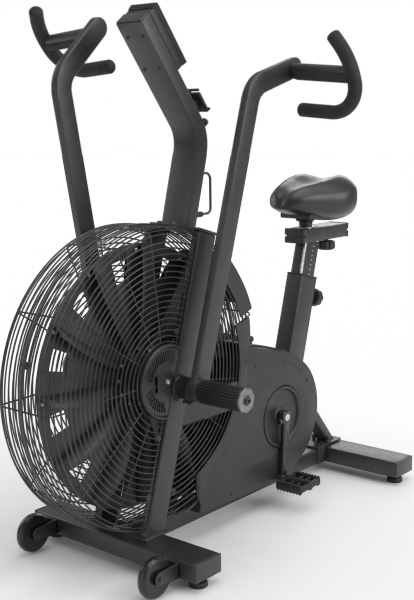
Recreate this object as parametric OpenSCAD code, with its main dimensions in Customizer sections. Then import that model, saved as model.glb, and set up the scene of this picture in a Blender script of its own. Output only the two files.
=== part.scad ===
// Air bike with a fan wheel, crank drive, swinging arms and an adjustable saddle.
// +X points rearward, -Y is the rider's left, +Z is up. Millimetres.
// Lengths along X are measured from the fan axle; placed() then centres the machine over the origin.

/* [Base] */
// Length of the front stabiliser
front_stab_l = 550; // [480:5:620]
// Length of the rear stabiliser
rear_stab_l = 563; // [480:5:620]
// Width of both stabilisers, front to back
stab_w = 92; // [80:1:100]
// Height of the stabiliser tubes
stab_h = 46; // [40:1:50]
// Gap from the floor to the stabilisers
stab_z = 27; // [24:1:30]
// Distance from the fan axle to the middle of the rear stabiliser
rear_stab_x = 826; // [810:1:850]
// Width of the main rail
rail_w = 60; // [50:1:62]

/* [Fan and cage] */
// Height of the fan axle
fan_z = 450; // [450:1:455]
// Radius of the fan wheel
fan_r = 330; // [300:1:340]
// Number of fan plates
fan_plates = 12; // [8:1:14]
// Radius of the cage at its rim
cage_r = 370; // [366:1:370]
// Radial pitch of the cage rings
ring_pitch = 14; // [10:1:18]
// Thickness of the cage wire, as a radius
wire_r = 1.5; // [1.2:0.1:1.7]

/* [Crank] */
// Distance from the fan axle back to the crank axle
crank_x = 476; // [470:1:490]
// Height of the crank axle
crank_z = 252; // [248:1:256]
// Crank length, axle to pedal
crank_l = 175; // [160:1:175]
// Lean of the cranks at rest: the lower pedal sits this far forward
crank_lean = 4; // [0:1:10]
// Radius of the crank disc
disc_r = 86; // [70:1:90]

/* [Arms] */
// Lean of the left arm at rest, rearward
arm_left_lean = 17; // [10:0.1:18]
// Lean of the right arm at rest, rearward
arm_right_lean = -10.5; // [-12:0.1:-5]
// Straight length of an arm below its bend
arm_l = 713; // [640:1:760]
// Length of an arm above its bend
arm_top_l = 141; // [120:1:160]
// Angle of the bend in an arm
arm_bend = 57; // [45:1:65]
// Radius of a foam grip
grip_r = 17.5; // [15:0.5:19]

/* [Saddle] */
// Length of the saddle
saddle_l = 275; // [250:1:290]
// Width of the saddle
saddle_w = 250; // [220:1:270]

/* [Hidden] */
$fn = 64;

// Tube walls and running gaps
wall = 2.5;
run_gap = 0.05;
vent_r = 4;

// Base
stab_top = stab_z + stab_h;
front_stab_x = -70;
rail_z = 29;
rail_h = 46;
rail_x0 = front_stab_x + stab_w / 2;
rail_x1 = rear_stab_x - stab_w / 2;
foot_inset = 32;
foot_pad_r = 22;
foot_pad_h = 14;
wheel_x = -180;
wheel_y = 207;
wheel_z = 50;
wheel_r = 48.5;
wheel_t = 24;

// Air between faces that bear on each other
face_gap = 0.02;

// Legs lean rearward and end under the crown plate
leg_lean = 16.4;
leg_w = 63.5;
leg_t = 25;
leg_out = 92.5;
leg_in = leg_out - leg_t;
leg_foot_x = -51;
crown_gap = 5;
crown_t = 6;
leg_l = cage_r + crown_gap - face_gap - leg_foot_x * sin(leg_lean) - (stab_top - fan_z) * cos(leg_lean);
leg_axis_d = (leg_foot_x * cos(leg_lean)) - (stab_top - fan_z) * sin(leg_lean);

// Arm pivot
pivot_x = 47;
pivot_z = 428;
shaft_r = 14;
boss_r = 27;
arm_in = 139.5;
arm_t = 21.7;
arm_out = arm_in + arm_t;
arm_w = 51;
arm_r = 70;
peg_in = arm_out + 2;
peg_out = 291;
lever_in = 54;
lever_out = 62;
lever_l = 70;

// Cage
cage_face_y = 86.5;
spoke_y = 83.4;
ring_min = 97;
ring_max = 342;
shoulder_r = 18.9;
wire_sides = 6;
band_r = cage_r + 4;
hub_cover_r = 92.5;

// Casing
casing_y = 91.2;
skin = 2.8;
casing_inner_r = 285;
casing_rear_r = 167;
casing_rear_x = 481;
disc_gap = 2.5;

// Crank
axle_r = 10;
crank_in = 86;
crank_out = 108;
pedal_in = 111;
pedal_w = 83;
pedal_l = 95;
pulley_y = 34;
pulley_w = 7;
drive_pulley_r = 110;
fan_pulley_r = 22;
belt_t = 3;

// Console post
post_w = 84;
post_t = 38;
post_lean = 15;
post_bend = 52.4;
post_r = 90;
post_l = 187;
post_top_l = 301;

// Seat
seat_lean = 15.9;
tube_d = 79;
tube_w = 54;
seat_top_z = 611;
seat_foot_x = 547;
pin_z = 560;
inner_d = 70;
inner_w = 36;
rail_front_x = 668;
seat_rail_rear_x = 893;
seat_rail_z = 712;
seat_rail_h = 39;
seat_rail_w = 64;
stub_x = 717;
knob_stud_x = 826;
saddle_x = 590;
saddle_z = 764;
saddle_top = 898;

// Overall length, used to centre the machine
mid_x = (seat_rail_rear_x - band_r) / 2;

frame_grey = [0.16, 0.16, 0.17];
plastic_grey = [0.13, 0.13, 0.13];
rubber_black = [0.06, 0.06, 0.06];
steel = [0.72, 0.72, 0.74];

module placed() translate([-mid_x, 0, 0]) children();

// Left parts are drawn on -Y and mirrored for the right
module side(s) {
    if (s < 0) children();
    else mirror([0, 1, 0]) children();
}

// Extrudes an X-Z outline between two Y planes
module slab(y0, y1) translate([0, y1, 0]) rotate([90, 0, 0]) linear_extrude(y1 - y0) children();

module y_rod(r, y0, y1) translate([0, y0, 0]) rotate([-90, 0, 0]) cylinder(r = r, h = y1 - y0);

module y_tube(r_out, r_in, y0, y1) difference() {
    y_rod(r_out, y0, y1);
    y_rod(r_in, y0 - 1, y1 + 1);
}

function arc_points(cx, cy, r, a0, a1, n = 12) =
    [for (i = [0:n]) let (a = a0 + (a1 - a0) * i / n) [cx + r * cos(a), cy + r * sin(a)]];

// A strip of width w that runs up for l1, bends towards +X and runs on for l2
function strip(l1, r, bend, l2, w, end_round = false) =
    let (d = [sin(bend), cos(bend)],
         e = [r - r * cos(bend), l1 + r * sin(bend)] + l2 * d,
         n = [-cos(bend), sin(bend)] * w / 2)
    concat([[-w / 2, 0]], arc_points(r, l1, r + w / 2, 180, 180 - bend),
           end_round ? arc_points(e[0], e[1], w / 2, 180 - bend, -bend) : [e + n, e - n],
           arc_points(r, l1, r - w / 2, 180 - bend, 180), [[w / 2, 0]]);

module box_tube(l, w, h, t) difference() {
    translate([0, -w / 2, -h / 2]) cube([l, w, h]);
    translate([-1, -w / 2 + t, -h / 2 + t]) cube([l + 2, w - 2 * t, h - 2 * t]);
}

module y_box(x0, x1, z0, z1, y0, y1) translate([x0, y0, z0]) cube([x1 - x0, y1 - y0, z1 - z0]);

module stabilizer(x, l) difference() {
    y_box(x - stab_w / 2, x + stab_w / 2, stab_z, stab_top, -l / 2, l / 2);
    y_box(x - stab_w / 2 + wall, x + stab_w / 2 - wall, stab_z + wall, stab_top - wall,
          -l / 2 + wall, l / 2 - wall);
    for (s = [-1, 1]) {
        translate([x, s * (l / 2 - 90), stab_z - 1]) cylinder(r = vent_r, h = wall + 2);
        translate([x, s * (l / 2 - foot_inset), stab_z - 1]) cylinder(r = 5 + run_gap, h = wall + 2);
    }
}

module wheel_bracket() {
    difference() {
        union() {
            for (y = [-1, 1]) {
                slab(-wheel_y + y * 17 - 2, -wheel_y + y * 17 + 2) polygon([
                    [rail_x0 - stab_w + 0.05, stab_top - 4], [rail_x0 - stab_w + 0.05, stab_z + 4],
                    [wheel_x + 4, wheel_z - 16], [wheel_x - 12, wheel_z - 12],
                    [wheel_x - 16, wheel_z], [wheel_x - 12, wheel_z + 12], [wheel_x + 4, wheel_z + 16]]);
            }
            y_box(rail_x0 - stab_w - 6, rail_x0 - stab_w, stab_z + 4, stab_top - 4,
                  -wheel_y - 19, -wheel_y + 19);
        }
        translate([wheel_x, 0, wheel_z]) y_rod(4, -wheel_y - 25, -wheel_y + 25);
    }
    translate([wheel_x, 0, wheel_z]) {
        y_rod(4, -wheel_y - 19, -wheel_y + 19);
        y_rod(8, -wheel_y - 23, -wheel_y - 19);
        y_rod(8, -wheel_y + 19, -wheel_y + 23);
    }
}

module front_stabilizer() color(frame_grey) {
    stabilizer(front_stab_x, front_stab_l);
    for (s = [-1, 1]) side(s) wheel_bracket();
}

module rear_stabilizer() color(frame_grey) stabilizer(rear_stab_x, rear_stab_l);

module main_rail() color(frame_grey)
    translate([rail_x0, 0, rail_z + rail_h / 2]) box_tube(rail_x1 - rail_x0, rail_w, rail_h, wall);

// A leg of the A-frame, with its foot plate and a boss hole for the arm pivot
module leg() difference() {
    union() {
        difference() {
            translate([leg_foot_x, -leg_out + leg_t / 2, stab_top]) rotate([0, leg_lean, 0])
                difference() {
                    translate([-leg_w / 2, -leg_t / 2, -30]) cube([leg_w, leg_t, leg_l + 30]);
                    translate([-leg_w / 2 + wall, -leg_t / 2 + wall, -31])
                        cube([leg_w - 2 * wall, leg_t - 2 * wall, leg_l + 32]);
                }
            y_box(leg_foot_x - 100, leg_foot_x + 100, stab_top - 60, stab_top, -leg_out - 1, -leg_in + 1);
        }
        y_box(leg_foot_x - 39, leg_foot_x + 44, stab_top, stab_top + 5, -leg_out - 6, -leg_in + 6);
        translate([pivot_x, 0, pivot_z]) y_rod(boss_r - 4, -leg_out, -leg_in);
    }
    translate([pivot_x, 0, pivot_z]) y_rod(boss_r - 8, -leg_out - 1, -leg_in + 1);
}

module leg_left() color(frame_grey) leg();
module leg_right() color(frame_grey) mirror([0, 1, 0]) leg();

// Crown plate across the legs, with the bent console post standing on it
module console_post() color(frame_grey) {
    rotate_about_fan() {
        translate([-8, -post_w / 2 - 4, cage_r + crown_gap]) cube([68, post_w + 8, crown_t]);
        translate([leg_axis_d - leg_w / 2 - 4, -leg_out, cage_r + crown_gap])
            cube([leg_w + 8, 2 * leg_out, crown_t]);
    }
    difference() {
        post_shape(0) slab(-post_w / 2, post_w / 2)
            polygon(strip(post_l + 12, post_r, post_bend, post_top_l, post_t));
        post_shape(1) slab(-post_w / 2 + wall, post_w / 2 - wall)
            polygon(strip(post_l + 13, post_r, post_bend, post_top_l - 3, post_t - 2 * wall));
        rotate_about_fan() translate([-200, -60, cage_r + crown_gap - 60]) cube([400, 120, 60 + crown_t / 2]);
        translate([230, 0, 905]) rotate([0, -90, 0]) cylinder(r = vent_r, h = 40);
        knob_place() cylinder(r = knob_boss_r - 1, h = 20);
    }
    knob_place() difference() {
        cylinder(r = knob_boss_r, h = 14);
        translate([0, 0, -1]) cylinder(r = 5 + run_gap, h = 16);
    }
}

// Threaded boss for the phone holder's locking knob
knob_boss_r = 9;
module knob_place() on_post(-42) translate([-14, -12, 4]) rotate([0, 90, 0]) children();

module rotate_about_fan() translate([0, 0, fan_z]) rotate([0, leg_lean, 0]) children();

module post_shape(drop) translate([155, 0, 805]) rotate([0, post_lean, 0]) mirror([1, 0, 0])
    translate([0, 0, -12 - drop]) children();

// Places children on the post's rear face near its top: X is outward from the face, Z up along the post
module on_post(along) translate([155, 0, 805]) rotate([0, post_lean, 0])
    translate([-post_r, 0, post_l]) rotate([0, -post_bend, 0]) translate([post_r + post_t / 2, 0, along])
    children();

// Seat tube leaning rearward from the rail, with a gusset down to the rear of the rail
module seat_lean_at(z) translate([seat_foot_x + (z - rail_z - rail_h) * tan(seat_lean), 0, z])
    rotate([0, seat_lean, 0]) children();

module seat_tube() color(frame_grey) {
    difference() {
        seat_lean_at(rail_z + rail_h) translate([-tube_d / 2, -tube_w / 2, -40])
            cube([tube_d, tube_w, 40 + (seat_top_z - rail_z - rail_h) / cos(seat_lean)]);
        seat_lean_at(rail_z + rail_h) translate([-tube_d / 2 + wall, -tube_w / 2 + wall, -41])
            cube([tube_d - 2 * wall, tube_w - 2 * wall, 900]);
        y_box(300, 700, rail_z - 60, rail_z + rail_h, -60, 60);
        seat_lean_at(pin_z) translate([tube_d / 2 - 5, 0, 0]) rotate([0, 90, 0]) cylinder(r = 8, h = 12);
    }
    difference() {
        slab(-20, 20) polygon(brace_outline(0));
        slab(-20 + wall, 20 - wall) polygon(brace_outline(wall));
        seat_lean_at(rail_z + rail_h) translate([-tube_d / 2, -tube_w / 2, -40]) cube([tube_d, tube_w, 900]);
    }
}

// Diagonal brace from the seat tube down to the plate over the rear stabiliser, inset by t
function brace_outline(t) = [[622, 345 - 1.3 * t], [848 - 1.3 * t, 81.4], [848 - 1.3 * t, stab_top + 7.1],
    [813 + 1.3 * t, stab_top + 7.1], [620, 304 + 1.3 * t]];

// Saddle plate that clamps the rail over the rear stabiliser
module rear_socket() color(frame_grey) {
    y_box(rail_x1 - 40, rear_stab_x + stab_w / 2 - 4, stab_top + 2.1, stab_top + 7.1, -34, 34);
    y_box(rear_stab_x - stab_w / 2 + 6, rear_stab_x + stab_w / 2 - 4, stab_top, stab_top + 2.1, -34, 34);
    for (s = [-1, 1]) y_box(rail_x1 - 40, rail_x1 - 0.1, rail_z, stab_top + 2.1, s * 32 - 2, s * 32 + 2);
}

// Crank axle housing on a bracket in front of the seat tube
module bottom_bracket() color(frame_grey) {
    translate([crank_x, 0, crank_z]) y_tube(26, 17.5, -26, 26);
    difference() {
        slab(-15, 15) polygon([[crank_x - 24, rail_z + rail_h], [crank_x + 24, rail_z + rail_h],
            [crank_x + 22, crank_z], [crank_x - 22, crank_z]]);
        slab(-12, 12) polygon([[crank_x - 20, rail_z], [crank_x + 20, rail_z],
            [crank_x + 18, crank_z], [crank_x - 18, crank_z]]);
        translate([crank_x, 0, crank_z]) y_rod(26, -40, 40);
    }
}

// Plates on the front edges of the legs that carry the fan axle
module axle_brackets() color(frame_grey) for (s = [-1, 1]) side(s) difference() {
    slab(-leg_out + 6, -leg_out + 12) polygon([
        [leg_axis_d - leg_w / 2 + 18, fan_z + 46], [-16, fan_z + 30], [-44, fan_z + 26], [-44, fan_z - 26],
        [-16, fan_z - 30], [leg_axis_d - leg_w / 2 - 13, fan_z - 46]]);
    translate([0, 0, fan_z]) y_rod(6.1, -leg_out, -leg_in);
    slab(-leg_out, -leg_in)
        polygon([[-30, fan_z - 18], [-36, fan_z - 18], [-36, fan_z + 18], [-30, fan_z + 18]]);
    rotate_about_fan() translate([leg_axis_d - leg_w / 2 - face_gap, -leg_out - 1, -100])
        cube([leg_w + face_gap, leg_t + 2, 200]);
}

// Fixed housings in which the arm shafts turn
module pivot_housings() color(plastic_grey) for (s = [-1, 1]) side(s) translate([pivot_x, 0, pivot_z]) {
    difference() {
        union() {
            y_rod(boss_r - 8, -leg_out, -leg_in - 0.5);
            y_rod(boss_r + 3, -leg_out - 5, -leg_out);
            y_rod(boss_r, -arm_in + 2, -leg_out - 5);
        }
        y_rod(shaft_r + run_gap, -arm_in, -leg_in + 5);
    }
    for (y = [-arm_in + 14, -arm_in + 30]) translate([0, y, -boss_r - 7]) cylinder(r = 4, h = 7.5);
}

module bearings() color(steel) {
    for (s = [-1, 1]) side(s) {
        translate([crank_x, 0, crank_z]) y_tube(17.5, axle_r + run_gap, -25, -15);
        translate([0, 0, fan_z]) y_tube(14, 6, -36, -26);
    }
}

module fan_axle() color(steel) translate([0, 0, fan_z]) {
    y_rod(6, -leg_out - 3, leg_out + 3);
    for (s = [-1, 1]) side(s) {
        y_tube(11, 6, -leg_out + 1, -leg_out + 6);
        y_tube(9, 6, -leg_out + 12, -40);
    }
}

// Arc of wire about the fan axle; angles run from +X towards +Z
module ring_arc(r, y, w, a0 = 0, sweep = 360) translate([0, y, fan_z]) rotate([0, -a0, 0])
    rotate([90, 0, 0]) rotate_extrude(angle = sweep) translate([r, 0]) circle(r = w, $fn = wire_sides);

// A ring in the plane of a leg stops at the leg's two edges
leg_front_d = leg_axis_d - leg_w / 2 - 4;
leg_rear_d = leg_axis_d + leg_w / 2 + 4;
leg_up = 90 - leg_lean;
module leg_ring(r, y) {
    front = asin(leg_front_d / r);
    rear = asin(leg_rear_d / r);
    ring_arc(r, y, wire_r, leg_up - front, 180 + 2 * front);
    if (r > leg_rear_d) ring_arc(r, y, wire_r, leg_up + 180 + rear, 180 - 2 * rear);
}

// Shoulder rings also end under the rear guard and inside the casing
guard_end = 48;
casing_start = 30;
module shoulder_ring(r, y) {
    front = asin(leg_front_d / r);
    rear = asin(leg_rear_d / r);
    ring_arc(r, y, wire_r, leg_up - front, 180 + 2 * front);
    ring_arc(r, y, wire_r, leg_up + 180 + rear, 180 - casing_start - leg_up - rear);
    ring_arc(r, y, wire_r, guard_end - 2, leg_up - rear - guard_end + 2);
}

// The rings on the rim leave a gap for the belt and one for the link rods
rim_rings = [11, 21, 31, 45, 58];
spoke_angles = [18, 48, 96, 114, 147, 181, 217, 240, 292, 322, 350];
module cage_half() {
    for (r = [ring_min:ring_pitch:ring_max]) leg_ring(r, -cage_face_y);
    shoulder_ring(354.8, -85.4);
    shoulder_ring(363.6, -80);
    shoulder_ring(368.8, -72);
    for (y = rim_rings) ring_arc(cage_r, -y, wire_r);
    for (a = spoke_angles) translate([0, 0, fan_z]) rotate([0, -a, 0]) spoke(spoke_start(a));
    for (d = [leg_front_d - 2, leg_rear_d + 2]) for (s = [-1, 1]) {
        z0 = sqrt(pow(ring_min, 2) - pow(min(d, ring_min - 1), 2)) + 4;
        rotate_about_fan() translate([d, -spoke_y, s > 0 ? z0 : -340])
            cylinder(r = wire_r, h = 340 - z0, $fn = wire_sides);
    }
}

// A wire that would start inside the leg starts at the leg's rear edge
function spoke_start(a) = sin(leg_up - a) > 0 ? max(ring_min, (leg_rear_d + 2) / sin(leg_up - a)) : ring_min;

// One bent wire: along the face, round the shoulder and across the rim
module spoke(start) {
    translate([start, -spoke_y, 0]) rotate([0, 90, 0])
        cylinder(r = wire_r, h = 348 - start, $fn = wire_sides);
    translate([348, -spoke_y + shoulder_r, 0]) rotate([0, 0, -90]) rotate_extrude(angle = 90)
        translate([shoulder_r, 0]) circle(r = wire_r, $fn = wire_sides);
    translate([348 + shoulder_r, -4.2, 0]) rotate([90, 0, 0])
        cylinder(r = wire_r, h = spoke_y - shoulder_r - 4.2, $fn = wire_sides);
}

module cage_left() color(plastic_grey) cage_half();
module cage_right() color(plastic_grey) mirror([0, 1, 0]) cage_half();

module cage_band() color(plastic_grey) translate([0, 0, fan_z]) {
    y_tube(band_r, band_r - 3, -4, 4);
    rotate([0, -165, 0]) translate([band_r - 14, 0, 0]) {
        difference() {
            translate([-2, -10, -9]) cube([10, 20, 18]);
            translate([-3, -4.1, -10]) cube([14, 8.2, 20]);
        }
        y_rod(3, -13, -10);
    }
}

// Round covers over the fan axle and the box covers over the arm links
module hub_cover() difference() {
    translate([0, 0, fan_z]) difference() {
        union() {
            y_rod(hub_cover_r, -leg_out, -leg_out + 2.6);
            y_tube(hub_cover_r, hub_cover_r - 3, -leg_out, -88.3);
            y_tube(hub_cover_r, hub_cover_r - 7, -leg_out - 5, -leg_out);
        }
        y_rod(13, -leg_out - 6, -80);
        for (a = [-100:12:104]) for (t = [90, 270]) rotate([0, a * 0.72 + t, 0])
            translate([58, -leg_out - 2, -2]) cube([20, 8, 4]);
        translate([-36, -leg_out - 6, -19]) cube([9, 10, 38]);
    }
    rotate_about_fan() translate([leg_axis_d - leg_w / 2 - 1, -120, -200]) cube([200, 60, 400]);
}

module link_cover() {
    difference() {
        slab(-leg_out, -leg_in) polygon(link_outline(0));
        slab(-leg_out + skin, -leg_in + 1) polygon(link_outline(skin));
        rotate_about_fan() translate([leg_axis_d - 200, -120, -300]) cube([200 + leg_w / 2 + 0.6, 60, 600]);
        translate([0, 0, fan_z]) y_tube(600, casing_inner_r - 1, -120, -40);
        translate([0, 0, fan_z]) y_tube(500, hub_cover_r, -leg_out + skin, -80);
    }
}
function link_outline(t) = [[40, 326 + t], [236, 322 + t], [262, 336 + t], [270, 396 - t], [40, 396 - t]];

module leg_covers() color(plastic_grey) for (s = [-1, 1]) side(s) {
    hub_cover();
    link_cover();
}

// Side view of the casing, inset by t: arc around the cage, the base, the rear round, the top line and the
// crescent that runs up beside the cage
crescent_top = 19;
function casing_outline(t) = concat(
    arc_points(0, fan_z, casing_inner_r + t, crescent_top, -69, 18),
    [[107 + t, 131], [121 + t, 104], [117 + t, 81 + t], [430, 69 + t]],
    arc_points(casing_rear_x, crank_z, casing_rear_r - t, -88, 58, 24),
    [[500, 432 - t], [430, 458 - t], [352, 474 - t]],
    [for (a = [6:3:crescent_top - 1]) (326 + a - t) * [cos(a), sin(a)] + [0, fan_z]]);

module casing_half() {
    difference() {
        union() {
            slab(-casing_y, -casing_y + skin) polygon(casing_outline(0));
            difference() {
                slab(-casing_y + skin, -0.2) polygon(casing_outline(0));
                slab(-casing_y + skin - 1, 1) polygon(casing_outline(skin));
                translate([0, 0, fan_z]) y_rod(band_r + 3, -120, 10);
            }
        }
        translate([crank_x, 0, crank_z]) y_rod(disc_r + disc_gap, -casing_y - 1, -casing_y + 20);
        seat_clear();
        y_box(rail_x0, rail_x1 + 1, rail_z - 2, rail_z + rail_h + 0.5, -rail_w / 2 - 0.5, 10);
        slab(-20.6, 20.6) polygon(brace_outline(-0.6));
        y_box(crank_x - 25, crank_x + 25, rail_z, rail_z + 2 * rail_h, -15.5, 1);
        translate([0, 0, fan_z]) y_rod(10, -120, 0);
    }
}

module seat_clear() seat_lean_at(rail_z + rail_h)
    translate([-tube_d / 2 - 0.5, -tube_w / 2 - 0.5, -60]) cube([tube_d + 1, tube_w + 1, 900]);

module casing_left() color(plastic_grey) casing_half();
module casing_right() color(plastic_grey) mirror([0, 1, 0]) casing_half();

// Separate lid along the top of the casing
module casing_top() color(plastic_grey) difference() {
    slab(-62, 62) polygon([[385, 467.6], [430, 458.3], [500, 432.3], [562, 398.5], [566, 402],
        [502, 437], [431, 463.2], [386, 472.4]]);
    seat_clear();
}

// Curved guard over the rear of the cage: its section follows the cage's rounded shoulder
fender_from = 21;
fender_to = guard_end;
module rear_fender() color(plastic_grey)
    translate([0, 0, fan_z]) rotate([0, -fender_from, 0]) rotate([90, 0, 0])
    rotate_extrude(angle = fender_to - fender_from) polygon([[308, -casing_y], [361, -casing_y], [378.6, -71],
        [378.6, 71], [361, casing_y], [308, casing_y], [308, casing_y - skin], [359.8, casing_y - skin],
        [375.8, 69.8], [375.8, -69.8], [359.8, -casing_y + skin], [308, -casing_y + skin]]);

// Screw heads on the casing, crown and console
module frame_bolts() color(steel) {
    for (s = [-1, 1]) side(s) {
        for (p = [[353, 419], [315, 391], [486, 400], [129, 95], [556, 130], [596, 330]])
            translate([p[0], 0, p[1]]) y_rod(4.5, -casing_y - 1.2, -casing_y);
        rotate_about_fan() translate([6, -26, cage_r + crown_gap + crown_t + face_gap])
            cylinder(r = 6, h = 5);
        translate([rear_stab_x - 18, -27.5, stab_top + 7.1]) cylinder(r = 6.5, h = 6);
        translate([rear_stab_x - 18, -27.5, stab_top + 13.5]) sphere(r = 6.2);
        on_post(140) for (z = [0, 90]) translate([-post_t - 2 - face_gap, -24, z + 30]) rotate([0, 90, 0])
            cylinder(r = 4, h = 2);
    }
}

// Toothed belt round the two pulleys, drawn as its running path
module drive_belt() color(rubber_black) slab(pulley_y, pulley_y + pulley_w) difference() {
    belt_loop(belt_t + 0.4);
    belt_loop(0.4);
}
module belt_loop(t) {
    dx = crank_x;
    dz = crank_z - fan_z;
    r0 = fan_pulley_r + t;
    r1 = drive_pulley_r + t;
    head = atan2(dz, dx);
    tilt = acos((r0 - r1) / sqrt(dx * dx + dz * dz));
    polygon(concat(arc_points(0, fan_z, r0, head + tilt, head + 360 - tilt, 16),
                   arc_points(crank_x, crank_z, r1, head - tilt, head + tilt, 32)));
}

// Console, with its bottom edge this far up the straight of the post
console_at = 135;
back_t = 18;
bezel_t = 16;
module console_housing() color(plastic_grey) on_post(console_at + 3) difference() {
    translate([face_gap, -41, 0]) cube([back_t - face_gap, 82, 160]);
    translate([wall, -38, wall]) cube([back_t, 76, 160 - 2 * wall]);
}
module console_bezel() color(plastic_grey) on_post(console_at) difference() {
    translate([back_t, -44, 0]) cube([bezel_t, 88, 168]);
    translate([back_t + bezel_t - 7, -34, 62]) cube([8, 68, 90]);
    translate([back_t - 1, 0, 32]) rotate([0, 90, 0]) cylinder(r = 9 + 0.4, h = bezel_t + 6);
    translate([back_t - 1, -38, 6]) cube([bezel_t - 8, 76, 156]);
}
module console_screen() color([0.35, 0.4, 0.38]) on_post(console_at)
    translate([back_t + bezel_t - 7, -33.6, 62.4]) cube([4, 67.2, 89.2]);
module button_start() color(rubber_black) on_post(console_at)
    translate([back_t + bezel_t - 7, 0, 32]) rotate([0, 90, 0]) cylinder(r = 9, h = 9);

// Holder for a phone: a foot on the post, a fixed plate, a sliding jaw and its locking knob
holder_at = -13;
holder_out = 30;
module phone_base() color(plastic_grey) on_post(holder_at) {
    translate([face_gap, -20, 16]) cube([holder_out - face_gap, 40, 28]);
    difference() {
        translate([holder_out, -36, 2]) cube([8, 72, 56]);
        translate([holder_out - 1, -5, 40]) cube([10, 10, 30]);
    }
    translate([holder_out + 8, -36, 2]) cube([7, 72, 5]);
}
module phone_jaw() color(rubber_black) on_post(holder_at) {
    translate([holder_out + 8.2, -30, 59]) cube([7, 60, 6]);
    translate([holder_out + 0.2, -4.8, 46]) cube([11, 9.6, 19]);
}
module phone_knob() color(rubber_black) knob_place() {
    translate([0, 0, 1]) cylinder(r = 5, h = 34);
    translate([0, 0, 34]) cylinder(r = 9, h = 12);
}

// Bent wire hanger behind the post, held in two rubber sleeves
module bottle_hook() color(plastic_grey) {
    wire = 2.6;
    translate([208, 0, 828]) rotate([0, 90, 0]) cylinder(r = 6.5, h = 38);
    translate([246, 0, 828]) rotate([0, 90, 0]) cylinder(r = wire, h = 22);
    translate([268, 0, 842]) rotate([90, 0, 0]) rotate([0, 0, -90]) rotate_extrude(angle = 90)
        translate([14, 0]) circle(r = wire);
    translate([282, 0, 842]) cylinder(r = wire, h = 72);
    translate([264, 0, 914]) rotate([90, 0, 0]) rotate_extrude(angle = 90)
        translate([18, 0]) circle(r = wire);
    translate([226, 0, 932]) rotate([0, 90, 0]) cylinder(r = wire, h = 38);
}

module crank_axle() color(steel) translate([crank_x, 0, crank_z]) {
    y_rod(axle_r, -crank_out, crank_out);
    for (s = [-1, 1]) side(s) {
        y_rod(24, -lever_out - 12, -lever_out - 4);
        translate([s * 17, 0, 0]) y_rod(5, -lever_out - 4, -lever_out - 1.5);
    }
}

module drive_pulley() color(plastic_grey) translate([crank_x, 0, crank_z]) {
    y_tube(drive_pulley_r, drive_pulley_r - 10, pulley_y - 1, pulley_y + pulley_w + 1);
    y_tube(28, axle_r, 28, pulley_y + pulley_w + 1);
    for (a = [0:72:288]) rotate([0, a, 0]) translate([26, pulley_y, -9]) cube([drive_pulley_r - 34, 5, 18]);
}

// Crank with a split clamp on the axle; dir is -1 for hanging down, +1 for standing up
module crank(dir) translate([crank_x, 0, crank_z]) rotate([0, crank_lean, 0]) difference() {
    union() {
        translate([-17, -crank_out + 1, -17]) cube([34, crank_out - crank_in - 1, 34]);
        slab(-crank_out, -94) polygon([[-14, 0], [14, 0], [11, dir * crank_l], [-11, dir * crank_l]]);
        translate([0, 0, dir * crank_l]) {
            y_rod(14, -crank_out, -94);
            y_rod(7, -pedal_in - pedal_w - 1, -crank_out);
        }
    }
    y_rod(axle_r, -crank_out - 1, -crank_in + 1);
    translate([-20, -crank_out + 10, dir * -12]) rotate([0, 90, 0]) cylinder(r = 3.5, h = 40);
    translate([-1, -crank_out - 1, dir > 0 ? -18 : 0]) cube([2, 40, 18]);
}
module crank_left() color(rubber_black) crank(-1);
module crank_right() color(rubber_black) mirror([0, 1, 0]) crank(1);

module crank_discs() color(plastic_grey) for (s = [-1, 1]) side(s) translate([crank_x, 0, crank_z])
    difference() {
        union() {
            y_tube(disc_r, disc_r - 12, -casing_y - 1, -casing_y + 12);
            y_rod(disc_r - 12, -crank_in + 1, -crank_in + 4);
        }
        y_rod(axle_r, -100, -60);
    }

// Platform pedal: two toothed side rails, two end plates and a centre barrel
module pedal() {
    difference() {
        union() {
            y_rod(12, -pedal_in - pedal_w, -pedal_in);
            for (x = [-1, 1]) translate([x * (pedal_l / 2 - 5) - 5, -pedal_in - pedal_w, -11])
                cube([10, pedal_w, 22]);
            for (y = [0, 1]) translate([-pedal_l / 2 + 4, -pedal_in - pedal_w + y * (pedal_w - 7), -9])
                cube([pedal_l - 8, 7, 18]);
            for (x = [-1, 1]) for (i = [0:6])
                translate([x * (pedal_l / 2 - 5) - 4, -pedal_in - pedal_w + 6 + i * 11.6, 11])
                    cube([8, 5, 3]);
        }
        y_rod(7 + run_gap, -pedal_in - pedal_w - 1, -pedal_in + 1);
    }
}
module pedal_left() color(rubber_black) at_crank_end(-1) rotate([0, -2, 0]) pedal();
module pedal_right() color(rubber_black) mirror([0, 1, 0])
    at_crank_end(1) rotate([0, -12, 0]) pedal();
module at_crank_end(dir) translate([crank_x + dir * crank_l * sin(crank_lean), 0,
    crank_z + dir * crank_l * cos(crank_lean)]) children();

// Fan wheel: hub, pulley, windowed plates and bent fins
module fan_wheel() color(frame_grey) translate([0, 0, fan_z]) {
    pitch = 360 / fan_plates;
    difference() {
        union() {
            y_rod(42, -38, 32);
            y_rod(fan_r, -1, 1);
            y_rod(fan_pulley_r, 31, pulley_y + pulley_w + 1);
            for (i = [0:fan_plates - 1]) rotate([0, i * pitch, 0]) {
                translate([40, -46, -1.2]) cube([fan_r - 44, 46, 2.4]);
                translate([40, 0, -1.2]) cube([fan_r - 44, 30, 2.4]);
            }
        }
        y_rod(14 + run_gap, -40, -26);
        y_rod(14 + run_gap, 26, 36);
        y_rod(10, -41, 60);
        for (i = [0:fan_plates - 1]) rotate([0, i * pitch + 3, 0]) slab(-2, 2)
            polygon(concat(arc_points(0, 0, 95, 0, -pitch * 0.45, 4),
                arc_points(0, 0, 284, -pitch * 0.45, 0, 4)));
    }
}

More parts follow.
